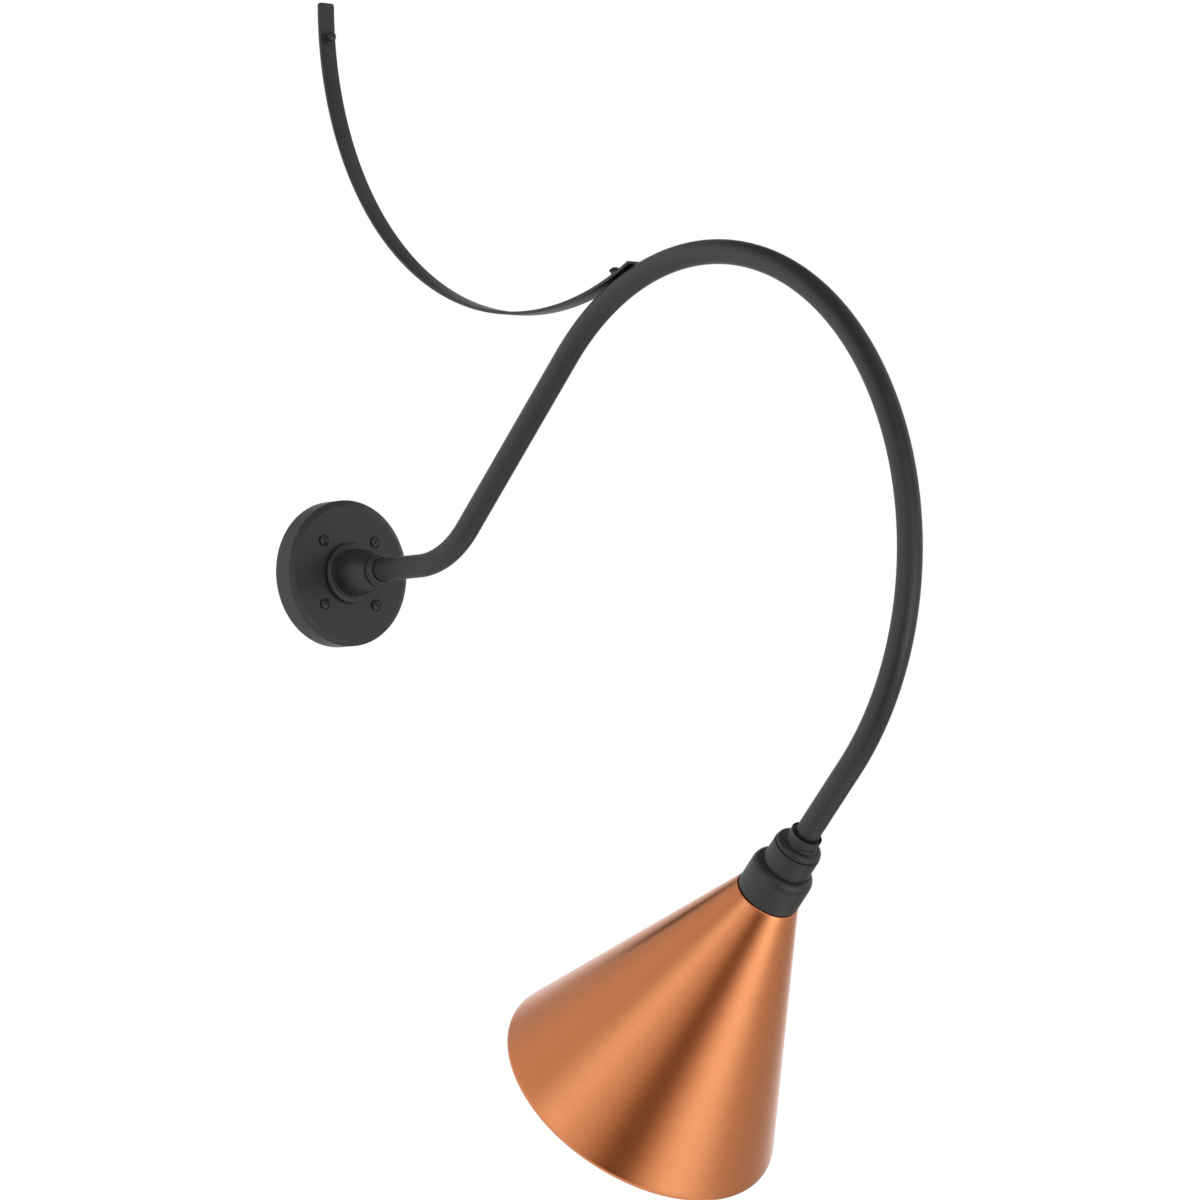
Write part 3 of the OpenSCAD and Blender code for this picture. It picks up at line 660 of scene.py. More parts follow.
FINISHES: dict[Slot, Finish] = {
    Slot.POWDER: Finish(
        "black_powder_coat",
        colour=(0.0150, 0.0150, 0.0158),
        shade=(0.0115, 0.0115, 0.0122),
        rough=(0.38, 0.48),
        specular=0.55,
        scale=1700.0,
        bump=0.00004,
    ),
    Slot.COPPER: Finish(
        "lacquered_copper",
        colour=(0.720, 0.258, 0.104),
        shade=(0.685, 0.240, 0.094),
        rough=(0.23, 0.27),
        metallic=1.0,
        grain=Grain.ROUND_HEAD,
        scale=22.0,
        bump=0.0000015,
        stretch=110.0,
        brushed=0.55,
        coat=0.2,
        coat_rough=0.2,
    ),
    Slot.STEEL: Finish(
        "zinc_plate",
        colour=(0.66, 0.67, 0.70),
        shade=(0.55, 0.57, 0.60),
        rough=(0.25, 0.42),
        metallic=1.0,
        scale=900.0,
        bump=0.00002,
    ),
    Slot.BRASS: Finish(
        "rolled_brass",
        colour=(0.78, 0.58, 0.27),
        shade=(0.66, 0.47, 0.20),
        rough=(0.2, 0.35),
        metallic=1.0,
        grain=Grain.ROUND_HEAD,
        scale=30.0,
        bump=0.00001,
    ),
    Slot.PORCELAIN: Finish(
        "white_glaze",
        colour=(0.88, 0.87, 0.84),
        shade=(0.82, 0.81, 0.77),
        rough=(0.08, 0.16),
        scale=300.0,
        bump=0.00003,
        coat=0.3,
    ),
    Slot.FOAM: Finish(
        "closed_foam",
        colour=(0.022, 0.022, 0.023),
        shade=(0.012, 0.012, 0.013),
        rough=(0.75, 0.95),
        specular=0.25,
        scale=2600.0,
        bump=0.00012,
        pitted=True,
    ),
    Slot.BLACK_GLASS: Finish(
        "black_cap_glass",
        colour=(0.018, 0.018, 0.02),
        shade=(0.010, 0.010, 0.012),
        rough=(0.05, 0.12),
        scale=500.0,
        bump=0.00001,
    ),
    Slot.NYLON: Finish(
        "moulded_nylon",
        colour=(0.035, 0.035, 0.036),
        shade=(0.025, 0.025, 0.026),
        rough=(0.45, 0.6),
        scale=1200.0,
        bump=0.00003,
    ),
    Slot.OPAL: Finish(
        "frosted_bulb",
        colour=(0.93, 0.93, 0.91),
        shade=(0.88, 0.88, 0.86),
        rough=(0.34, 0.46),
        scale=2200.0,
        bump=0.00001,
        coat=0.15,
    ),
}


class Bench:
    """Holds the finishes and makes, dresses and reports each piece."""

    def __init__(self) -> None:
        """Builds the shared groups and all finishes."""
        groups = {"grain": grain_group(), "lathe": lathe_group()}
        self.materials = {slot: f.build(groups) for slot, f in FINISHES.items()}
        self.made = 0

    def make(
        self,
        name: str,
        sheets: Sequence[Sheet],
        slot: Slot,
        body: str = "fixture",
        stands_for: Sequence[str] = (),
        crease: float = 32.0,
    ) -> bpy.types.Object:
        """One piece from one or more closed sheets.

        Args:
            name: name of the piece.
            sheets: its surfaces.
            slot: the finish it takes.
            body: the moving body that it rides on.
            stands_for: nodes that it replaces.
            crease: edges sharper than this angle stay sharp, in degrees.

        Returns:
            The finished object.
        """
        points = np.concatenate([s.points.reshape(-1, 3) for s in sheets])
        starts = np.cumsum([0] + [s.points.shape[0] * s.points.shape[1] for s in sheets])
        quads = np.concatenate([s.quads(int(n)) for s, n in zip(sheets, starts)])
        mesh = bpy.data.meshes.new(name)
        mesh.from_pydata(points.tolist(), [], quads.tolist())
        return self.dress(name, mesh, slot, body, stands_for, crease)

    def powder(self, name: str, node: str, *sheets: Sheet, crease: float = 32.0) -> None:
        """A powder-coated piece of the fixture that stands for one solid."""
        self.make(name, sheets, Slot.POWDER, stands_for=(node,), crease=crease)

    def dress(
        self,
        name: str,
        mesh: bpy.types.Mesh,
        slot: Slot,
        body: str,
        stands_for: Sequence[str],
        crease: float,
        bevel: float = 0.0,
    ) -> bpy.types.Object:
        """Merges a mesh's doubles, turns its faces out, smooths it and gives it its finish.

        Args:
            name: name of the piece.
            mesh: the raw mesh.
            slot: the finish it takes.
            body: the moving body that it rides on.
            stands_for: nodes that it replaces.
            crease: edges sharper than this angle stay sharp, in degrees.
            bevel: width of a bevel on sharp edges, zero for none.

        Returns:
            The finished object.
        """
        bm = bmesh.new()
        bm.from_mesh(mesh)
        bmesh.ops.remove_doubles(bm, verts=bm.verts, dist=WELD)
        bmesh.ops.dissolve_degenerate(bm, edges=bm.edges, dist=SLIVER)
        if bevel > 0:
            bmesh.ops.dissolve_limit(
                bm, angle_limit=math.radians(1.0), verts=bm.verts, edges=bm.edges
            )
        bmesh.ops.recalc_face_normals(bm, faces=bm.faces)
        bm.to_mesh(mesh)
        bm.free()
        mesh.shade_smooth()
        mesh.set_sharp_from_angle(angle=math.radians(crease))
        obj = bpy.data.objects.new(name, mesh)
        bpy.context.scene.collection.objects.link(obj)
        mesh.materials.append(self.materials[slot])
        if bevel > 0:
            mod = obj.modifiers.new("soft_edges", "BEVEL")
            mod.width = bevel
            mod.segments = 2
            mod.limit_method = "ANGLE"
            mod.angle_limit = math.radians(crease)
            mod.harden_normals = True
        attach(obj, body)
        if stands_for:
            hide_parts(*stands_for)
        self.made += 1
        LOG.info("%s: %d faces, %s", name, len(mesh.polygons), slot.value)
        return obj

    def soften(self, node: str, slot: Slot, bevel: float, body: str = "fixture") -> None:
        """A copy of a solid with its sharp edges eased, shown in its place.

        Args:
            node: the solid.
            slot: the finish.
            bevel: width of the eased edges.
            body: the moving body that it rides on.
        """
        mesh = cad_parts[node].data.copy()
        mesh.materials.clear()
        self.dress(f"{node}_eased", mesh, slot, body, (node,), 28.0, bevel)

    def keep(self, slot: Slot, *nodes: str) -> None:
        """Gives solids that are shown as they are their finish.

        Args:
            slot: the finish.
            nodes: the solids.
        """
        for node in nodes:
            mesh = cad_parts[node].data
            mesh.materials.clear()
            mesh.materials.append(self.materials[slot])
            LOG.info("%s keeps its solid, %s", node, slot.value)


# Sub-assemblies


@dataclass
class WallPlate:
    """The wall plate with its foam, screws and hub."""

    screw_pitch: float = 64.4 * MM
    screw_r: float = 2.4 * MM
    screw_reach: float = 25 * MM
    screw_tip: float = 3 * MM
    point_len: float = 3.2 * MM
    pitch: float = 1.7 * MM
    relief: float = 0.3 * MM
    root_share: float = 0.7
    point_share: float = 0.35
    point_flat: float = 0.1 * MM
    head_r: float = 4.8 * MM
    head_h: float = 4.2 * MM
    head_wall: float = 2.5 * MM
    recess_h: float = 1.6 * MM
    slot_w: float = 1.4 * MM
    slot_h: float = 1.6 * MM
    turns: tuple[float, ...] = (12.0, 77.0, -31.0, 38.0)
    hub_r: float = 24.2 * MM
    neck_r: float = 16.5 * MM
    bead_r: float = 31 * MM
    bead_h: float = 6 * MM
    bead_under: float = 3 * MM
    bead_rise: float = 2.2 * MM
    bell: tuple[float, float, float] = (7.5 * MM, 43.5 * MM, 1.9)
    collar_r: float = 16.2 * MM
    collar_ease: float = 1.0 * MM
    collar_foot_h: float = 2.4 * MM
    collar_step_r: float = 14.6 * MM
    collar_step_h: float = 3.4 * MM
    collar_neck_r: float = 13.9 * MM
    collar_h: float = 8 * MM
    collar_recess: float = 0.75 * MM
    collar_floor: float = 6.6 * MM
    set_screw_r: float = 3 * MM
    set_screw_back: float = 7 * MM
    set_screw_gap: float = 0.12 * MM
    set_screw_sunk: float = 0.6 * MM
    socket_r: float = 1.5 * MM
    socket_h: float = 2 * MM

    def build(self, bench: Bench) -> None:
        """Makes all pieces of the plate.

        Args:
            bench: the bench that makes and dresses the pieces.
        """
        bench.soften("wall_plate", Slot.POWDER, 0.5 * MM)
        bench.powder("hub_turned", "hub", self.hub())
        bench.keep(Slot.FOAM, "wall_gasket")
        bench.powder("hub_set_screw_turned", "hub_set_screw", self.set_screw())
        bench.powder("plate_screw_set", "plate_screws", *self.screws(), crease=38)
        bench.powder("collar_turned", "arm_collar", self.collar())

    def screws(self) -> list[Sheet]:
        """Four slotted screws, each a head and a threaded shank with a point.

        Returns:
            Four sheets for each screw.
        """
        plain = LINES.plate_depth - self.recess_h
        seat = LINES.wall_seat(plain)
        neck, root = self.screw_r - self.relief, self.screw_r * self.root_share
        cut = self.screw_reach - self.screw_tip
        end = -plain - self.screw_reach
        base = end + self.point_len
        blunt = [root * self.point_share, end + self.point_flat]
        shank = np.array([[0.0, OVERLAP], [neck, OVERLAP], [neck, -plain], [0.0, -plain]])
        point = np.array([[0.0, end], blunt, [root, base], [0.0, base]])
        stem = (
            turned(shank, seat, 32, closed=False),
            threaded(seat, -plain - cut, cut, self.pitch, vee(self.screw_r, root), 24, 8),
            turned(point, seat, 24, closed=False),
        )
        sheets: list[Sheet] = []
        corners = [(x, z) for x in (-1, 1) for z in (-1, 1)]
        for (x, z), turn in zip(corners, self.turns):
            shift = np.array([x, 0.0, z]) * self.screw_pitch / 2
            head = slotted_head(
                seat, self.head_r, self.head_h, self.head_wall, self.slot_w, self.slot_h, turn
            )
            sheets += [Sheet(s.points + shift, s.wrap_rows) for s in (head, *stem)]
        return sheets

    def hub(self) -> Sheet:
        """The hub: an undercut bead and a bell that narrows from the bead to the collar.

        The bell loses its width by its share of the length, raised to the bell's third value.

        Returns:
            The sheet in the light's frame.
        """
        bore = LINES.arm_hole_r
        first, last, power = self.bell
        t = np.linspace(0.0, 1.0, 28)
        bell_r = self.hub_r - (self.hub_r - self.neck_r) * t**power
        bell = np.stack([bell_r, first + (last - first) * t], 1)
        corners = [
            (bore, 0.0, 0.0),
            (self.bead_r - self.bead_under, 0.0, 0.0),
            (self.bead_r, self.bead_rise, 1.6 * MM),
            (self.bead_r, self.bead_h, 3.2 * MM),
            (self.hub_r, self.bead_h, 0.5 * MM),
            (self.hub_r, first, 0.0),
        ]
        foot = rounded(corners, 8, closed=False)
        end = np.array([[self.neck_r, LINES.hub_h], [bore, LINES.hub_h]])
        return turned(np.concatenate([foot[:-1], bell, end]), LINES.wall_seat(LINES.plate_depth))

    def set_screw(self) -> Sheet:
        """The set screw under the hub, with a round socket in its end.

        Returns:
            The sheet in the light's frame.
        """
        seat = Seat(LINES.plate_depth + LINES.hub_h - self.set_screw_back, 0.0, -90.0)
        inner, outer = LINES.arm_r + self.set_screw_gap, self.neck_r - self.set_screw_sunk
        floor = outer - self.socket_h
        rows = [
            [0.0, inner],
            [self.set_screw_r, inner],
            [self.set_screw_r, outer],
            [self.socket_r, outer],
            [self.socket_r, floor],
            [0.0, floor],
        ]
        return turned(np.array(rows), seat, 32, closed=False)

    def collar(self) -> Sheet:
        """The stepped collar, its corners rounded, with the recess round the tube.

        Returns:
            The sheet in the light's frame.
        """
        bore = LINES.arm_hole_r
        recess = bore + self.collar_recess
        corners = [
            (bore, 0.0, 0.0),
            (self.collar_r - self.collar_ease, 0.0, 0.0),
            (self.collar_r, self.collar_ease, 0.3 * MM),
            (self.collar_r, self.collar_foot_h, 0.9 * MM),
            (self.collar_step_r, self.collar_step_h, 0.8 * MM),
            (self.collar_neck_r, self.collar_h, 1.3 * MM),
            (recess, self.collar_h, 0.25 * MM),
            (recess, self.collar_floor, 0.0),
            (bore, self.collar_floor, 0.0),
        ]
        return turned(rounded(corners), LINES.wall_seat(LINES.plate_depth + LINES.hub_h))


@dataclass
class Arm:
    """The gooseneck tube, its locknuts and the bushing in its rear end."""

    columns: int = 64
    thread_pitch: float = 1.8 * MM
    thread_h: float = 0.8 * MM
    thread_from: float = 0.3 * MM
    thread_len: float = 11.5 * MM
    thread_core: float = 0.5 * MM
    shoulder_at: float = 12 * MM

    def build(self, bench: Bench) -> None:
        """Makes the tube with its cut thread and dresses the nuts.

        Args:
            bench: the bench that makes and dresses the pieces.
        """
        bench.powder("arm_drawn_tube", "arm_tube", *self.tube())
        bench.soften("arm_locknut", Slot.STEEL, 0.4 * MM)
        bench.soften("neck_locknut", Slot.STEEL, 0.4 * MM)
        bench.soften("arm_lock_washer", Slot.STEEL, 0.15 * MM)
        bench.soften("arm_bushing", Slot.NYLON, 0.3 * MM)

    def tube(self) -> list[Sheet]:
        """The tube's outside and bore as one closed sheet, and the thread on its rear end.

        A circle is carried along the centreline at the outside radius and back at the
        bore's. The rear end is drawn in to the thread's root, and the thread stands on it.

        Returns:
            The tube and its thread.
        """
        path = LINES.path()
        angle = round_steps(self.columns)
        circle = np.stack([np.cos(angle), np.sin(angle)], -1)
        root = LINES.arm_r - self.thread_h
        shoulder = np.array([[LINES.arm_rear + self.shoulder_at, 0.0, 0.0]])
        outer_path = np.concatenate([path[:1], shoulder, shoulder, path[1:]])
        radii = np.full(len(outer_path), LINES.arm_r)
        radii[:2] = root
        outer = carried(outer_path, circle[None] * radii[:, None, None])
        inner = carried(path[::-1], circle * LINES.arm_bore_r)
        skin = Sheet(np.concatenate([outer, inner]), wrap_rows=True)
        thread = threaded(
            LINES.wall_seat(),
            LINES.arm_rear + self.thread_from,
            self.thread_len,
            self.thread_pitch,
            vee(LINES.arm_r, root),
            64,
            10,
            core=LINES.arm_bore_r + self.thread_core,
        )
        return [skin, thread]


@dataclass
class Stay:
    """The flat-bar stay with its bolt, wall screw, washers and insert."""

    width: float = 19.05 * MM
    head_len: float = 11 * MM
    corner: float = 3 * MM
    edge: float = 0.35 * MM
    fastener_r: float = 3 * MM
    pitch: float = 1.25 * MM
    thread_h: float = 0.6 * MM
    bolt_reach: float = 11.2 * MM
    bolt_tip: float = 1.0 * MM
    screw_plain: float = 2.512 * MM
    screw_reach: float = 9.0 * MM
    screw_tip: float = 2.0 * MM
    tip_r: float = 1.2 * MM
    hole_play: float = 0.3 * MM
    relief: float = 0.3 * MM
    head_r: float = 4.85 * MM
    head_h: float = 3 * MM
    wall: float = 1 * MM
    shoulder_h: float = 5.2 * MM
    shoulder_w: float = 0.8 * MM
    slot_w: float = 1.8 * MM
    slot_h: float = 1.5 * MM
    washer_r: float = 6.7 * MM
    washer_t: float = 1.5 * MM

    def build(self, bench: Bench) -> None:
        """Makes the bar and its fasteners.

        Args:
            bench: the bench that makes and dresses the pieces.
        """
        radius, _, meet = LINES.stay_arc()
        bolt = LINES.on_stay(meet - LINES.stay_bolt_back / radius)
        tilt = math.asin(LINES.stay_screw_drop / radius)
        screw = LINES.on_stay(tilt - math.pi / 2)
        bench.powder("stay_flat_bar", "stay_bar", self.bar())
        bench.powder(
            "stay_bolt_slotted",
            "stay_bolt",
            *self.fastener(bolt, LINES.stay_t / 2, self.bolt_reach, 80.0, self.bolt_tip),
        )
        bench.powder(
            "stay_screw_slotted",
            "stay_wall_screw",
            *self.fastener(screw, self.screw_plain, self.screw_reach, 20.0, self.screw_tip),
        )
        bench.powder("stay_bolt_plain_washer", "stay_bolt_washer", self.washer(bolt))
        bench.powder("stay_screw_plain_washer", "stay_wall_washer", self.washer(screw))
        bench.keep(Slot.STEEL, "stay_insert")

    def bar(self) -> Sheet:
        """The bar: a rectangle with eased edges carried along one arc and a short upright.

        Near the upper end the half width is its full value less the corner radius, plus the
        height of a circle of that radius, which rounds the two corners.

        Returns:
            The sheet in the light's frame.
        """
        radius, centre, meet = LINES.stay_arc()
        end = meet + LINES.stay_tail / radius
        angle = np.linspace(-math.pi / 2, end, 170)
        arc = np.stack(
            [centre[0] + radius * np.sin(angle), centre[1] - radius * np.cos(angle), angle], 1
        )
        d = np.concatenate([[0.0], (1 - np.cos(np.linspace(0.1, math.pi / 2, 9))) * self.corner])
        top = LINES.stay_leave + self.head_len - d
        upright = np.stack([np.full(10, arc[0, 0]), top, np.full(10, -math.pi / 2)], 1)
        path = np.concatenate([upright[:1], upright, arc, arc[-1:]])
        half = np.full(len(path), self.width / 2)
        rise = np.sqrt(np.maximum(self.corner**2 - (self.corner - d) ** 2, 0.0))
        half[1:11] = self.width / 2 - self.corner + rise
        thick = np.full(len(path), LINES.stay_t / 2)
        half[[0, -1]] = 0.0
        thick[[0, -1]] = 0.0
        steps = np.linspace(0.0, math.pi / 2, 4)
        quarter = np.stack([np.cos(steps), np.sin(steps)], 1)
        signs = np.array([[1, 1], [-1, 1], [-1, -1], [1, -1]])
        ease = np.concatenate([(quarter if s[0] * s[1] > 0 else quarter[::-1]) * s for s in signs])
        size = np.stack([half, thick], 1)[:, None, :]
        inset = np.minimum(self.edge, size)
        return Sheet(carried(path, np.repeat(signs, 4, 0) * (size - inset) + ease * inset))

    def fastener(
        self, seat: Seat, plain: float, reach: float, turn: float, tip: float
    ) -> list[Sheet]:
        """A slotted head on a shoulder, and a shank that is plain first and then threaded.

        Args:
            seat: the bar's middle, +Z towards what the fastener goes into.
            plain: depth past the bar's middle at which the thread begins.
            reach: how far the shank goes past the bar's middle.
            turn: turn of the slot, in degrees.
            tip: length of the blunt point.

        Returns:
            The head, the shoulder with the plain shank, the thread and the point.
        """
        back = LINES.stay_t / 2 + LINES.seat_gap + self.washer_t
        top = seat.ahead(-back - self.shoulder_h)
        up = Seat(top.out, top.up, top.heading + 180.0)
        head = slotted_head(
            up, self.head_r, self.head_h, self.wall, self.slot_w, self.slot_h, turn
        )
        step = self.fastener_r + self.shoulder_w
        thin = self.fastener_r - self.relief
        under = -back - self.shoulder_h - OVERLAP
        corners = [
            (0.0, under, 0.0),
            (step, under, 0.0),
            (step, -back, 0.3 * MM),
            (thin, -back, 0.0),
            (thin, plain, 0.0),
            (0.0, plain, 0.0),
        ]
        neck = turned(rounded(corners, closed=False), seat, 48, closed=False)
        root = self.fastener_r - self.thread_h
        thread = threaded(
            seat, plain, reach - plain - tip, self.pitch, vee(self.fastener_r, root), 32, 8
        )
        start = reach - tip - OVERLAP
        rows = np.array([[0.0, start], [root, start], [self.tip_r, reach], [0.0, reach]])
        return [head, neck, thread, turned(rows, seat, 32, closed=False)]

    def washer(self, seat: Seat) -> Sheet:
        """A plain washer with rounded edges under a head.

        Args:
            seat: the bar's middle, +Z away from the head.

        Returns:
            The sheet in the light's frame.
        """
        top = -LINES.stay_t / 2 - LINES.seat_gap - self.washer_t
        bore = self.fastener_r + self.hole_play
        corners = [
            (bore, top, 0.1 * MM),
            (self.washer_r, top, 0.35 * MM),
            (self.washer_r, top + self.washer_t, 0.2 * MM),
            (bore, top + self.washer_t, 0.1 * MM),
        ]
        return turned(rounded(corners, 4), seat, 56)


@dataclass
class Head:
    """The turned parts between the arm and the shade."""

    ring_r: float = 15.4 * MM
    ring_h: float = 5 * MM
    ring_step_r: float = 14.5 * MM
    ring_recess: float = 2.2 * MM
    cap_neck_r: float = 15.0 * MM
    cap_neck_h: float = 7.0 * MM
    cap_r: float = 22.6 * MM
    cap_h: float = 13.2 * MM
    housing_bore_r: float = 21.3 * MM
    housing_r: float = 23.3 * MM
    housing_floor: float = 2.8 * MM
    groove_h: float = 0.8 * MM
    flange_r: float = 26.7 * MM
    flange_at: float = 28.5 * MM
    flange_end: float = 30.5 * MM
    gasket_hole_r: float = 22.0 * MM
    gasket_r: float = 29.4 * MM
    gasket_t: float = 0.8 * MM

    def build(self, bench: Bench) -> None:
        """Makes ring, cap, housing and fitter.

        Args:
            bench: the bench that makes and dresses the pieces.
        """
        bench.powder("neck_ring_turned", "neck_ring", self.ring())
        bench.powder("neck_cap_turned", "neck_cap", self.cap())
        bench.powder("socket_housing_turned", "socket_housing", self.housing())
        bench.soften("shade_fitter", Slot.POWDER, 0.2 * MM)
        bench.make(
            "shade_gasket_turned", [self.gasket()], Slot.FOAM, stands_for=("shade_gasket",)
        )

    def ring(self) -> Sheet:
        """The ring on the tube, with a sharp upper edge and a recess round the tube.

        Returns:
            The sheet in the light's frame.
        """
        bore = LINES.arm_hole_r
        corners = [
            (bore, self.ring_recess, 0.0),
            (self.ring_step_r, self.ring_recess, 0.4 * MM),
            (self.ring_step_r, 0.0, 0.3 * MM),
            (self.ring_r, 0.0, 0.45 * MM),
            (self.ring_r, self.ring_h, 0.15 * MM),
            (bore, self.ring_h, 0.0),
        ]
        return turned(rounded(corners, 6), LINES.head(LINES.ring_at))

    def cap(self) -> Sheet:
        """The shouldered cap: a neck, a small hollow fillet, a round shoulder and a sharp rim.

        Returns:
            The sheet in the light's frame.
        """
        bore = LINES.arm_hole_r
        corners = [
            (bore, 0.0, 0.0),
            (self.cap_neck_r, 0.0, 0.05 * MM),
            (self.cap_neck_r, self.cap_neck_h, 1.85 * MM),
            (self.cap_r, self.cap_neck_h, 5.0 * MM),
            (self.cap_r, self.cap_h, 0.9 * MM),
            (bore, self.cap_h, 0.0),
        ]
        return turned(rounded(corners, 14), LINES.head(LINES.cap_at))

    def housing(self) -> Sheet:
        """The socket housing: a groove under the cap, a plain wall and a flange inside.

        Returns:
            The sheet in the light's frame.
        """
        bore = LINES.arm_hole_r
        corners = [
            (bore, 0.0, 0.0),
            (self.housing_bore_r, 0.0, 0.0),
            (self.housing_bore_r, self.groove_h, 0.0),
            (self.housing_r, self.groove_h, 0.45 * MM),
            (self.housing_r, self.flange_at, 0.0),
            (self.flange_r, self.flange_at, 0.3 * MM),
            (self.flange_r, self.flange_end, 0.3 * MM),
            (self.housing_bore_r, self.flange_end, 0.3 * MM),
            (self.housing_bore_r, self.housing_floor, 0.5 * MM),
            (bore, self.housing_floor, 0.0),
        ]
        return turned(rounded(corners, 4), LINES.head(LINES.cap_end))

    def gasket(self) -> Sheet:
        """The gasket on the shade's flange, set back so that it reads as a dark line.

        Returns:
            The sheet in the light's frame.
        """
        corners = [
            (self.gasket_hole_r, 0.0, 0.0),
            (self.gasket_r, 0.0, 0.0),
            (self.gasket_r, self.gasket_t, 0.0),
            (self.gasket_hole_r, self.gasket_t, 0.0),
        ]
        return turned(rounded(corners, 2), LINES.head(LINES.shade_at - self.gasket_t))


@dataclass
class Shade:
    """The spun cone with its flange, rounded shoulder and rolled rim."""

    top_r: float = 31.3 * MM
    rim_r: float = 140.0 * MM
    height: float = 261 * MM
    thick: float = 1.3 * MM
    hole_r: float = 22 * MM
    curl_r: float = 3.6 * MM
    curl_turn: float = 123.0
    shoulder: float = 1.7 * MM
    columns: int = 288

    def build(self, bench: Bench) -> None:
        """Makes the cone and its screws."""
        bench.make("shade_spun_cone", [self.cone()], Slot.COPPER, stands_for=("shade",), crease=40)
        bench.soften("shade_screws", Slot.STEEL, 0.1 * MM)

    def cone(self) -> Sheet:
        """The spun sheet as one closed profile.

        The outside is a flange, a filleted shoulder, a straight slope and an arc that turns
        inwards; the inside is the same line moved inwards by the sheet's thickness.

        Returns:
            The sheet in the light's frame.
        """
        slope = math.atan((self.rim_r - self.top_r) / self.height)
        along = np.array([math.sin(slope), math.cos(slope)])
        inward = np.array([-math.cos(slope), math.sin(slope)])
        foot = np.array([self.rim_r, self.height])
        centre = foot + self.curl_r * inward
        t = np.linspace(-slope, math.radians(self.curl_turn) - slope, 26)
        ring = np.stack([np.cos(t), np.sin(t)], 1)
        corners = [
            (self.hole_r, 0.0, 0.0),
            (self.top_r, 0.0, self.shoulder),
            (self.top_r + along[0], along[1], 0.0),
        ]
        top = rounded(corners, 10, closed=False)[:-1]
        slide = np.linspace(0.0, 1.0, 70)[1:-1, None]
        side = top[-1] * (1 - slide) + foot * slide
        inner_r = self.top_r + self.thick * math.tan(slope) - self.thick / math.cos(slope)
        inner_top = np.array([inner_r, self.thick])
        inner_foot = foot + self.thick * inward
        inner_side = inner_foot * (1 - slide[::2]) + inner_top * slide[::2]
        lip = centre + (self.curl_r - self.thick / 2) * ring[-1]
        lip_turn = np.linspace(0.0, math.pi, 7)[1:-1, None]
        tangent = np.array([-ring[-1][1], ring[-1][0]])
        edge = lip + self.thick / 2 * (np.cos(lip_turn) * ring[-1] + np.sin(lip_turn) * tangent)
        parts = [
            top,
            side,
            centre + self.curl_r * ring,
            edge,
            centre + (self.curl_r - self.thick) * ring[::-1],
            inner_side,
            inner_top[None],
            np.array([[self.hole_r, self.thick]]),
        ]
        return turned(np.concatenate(parts), LINES.head(LINES.shade_at), self.columns)


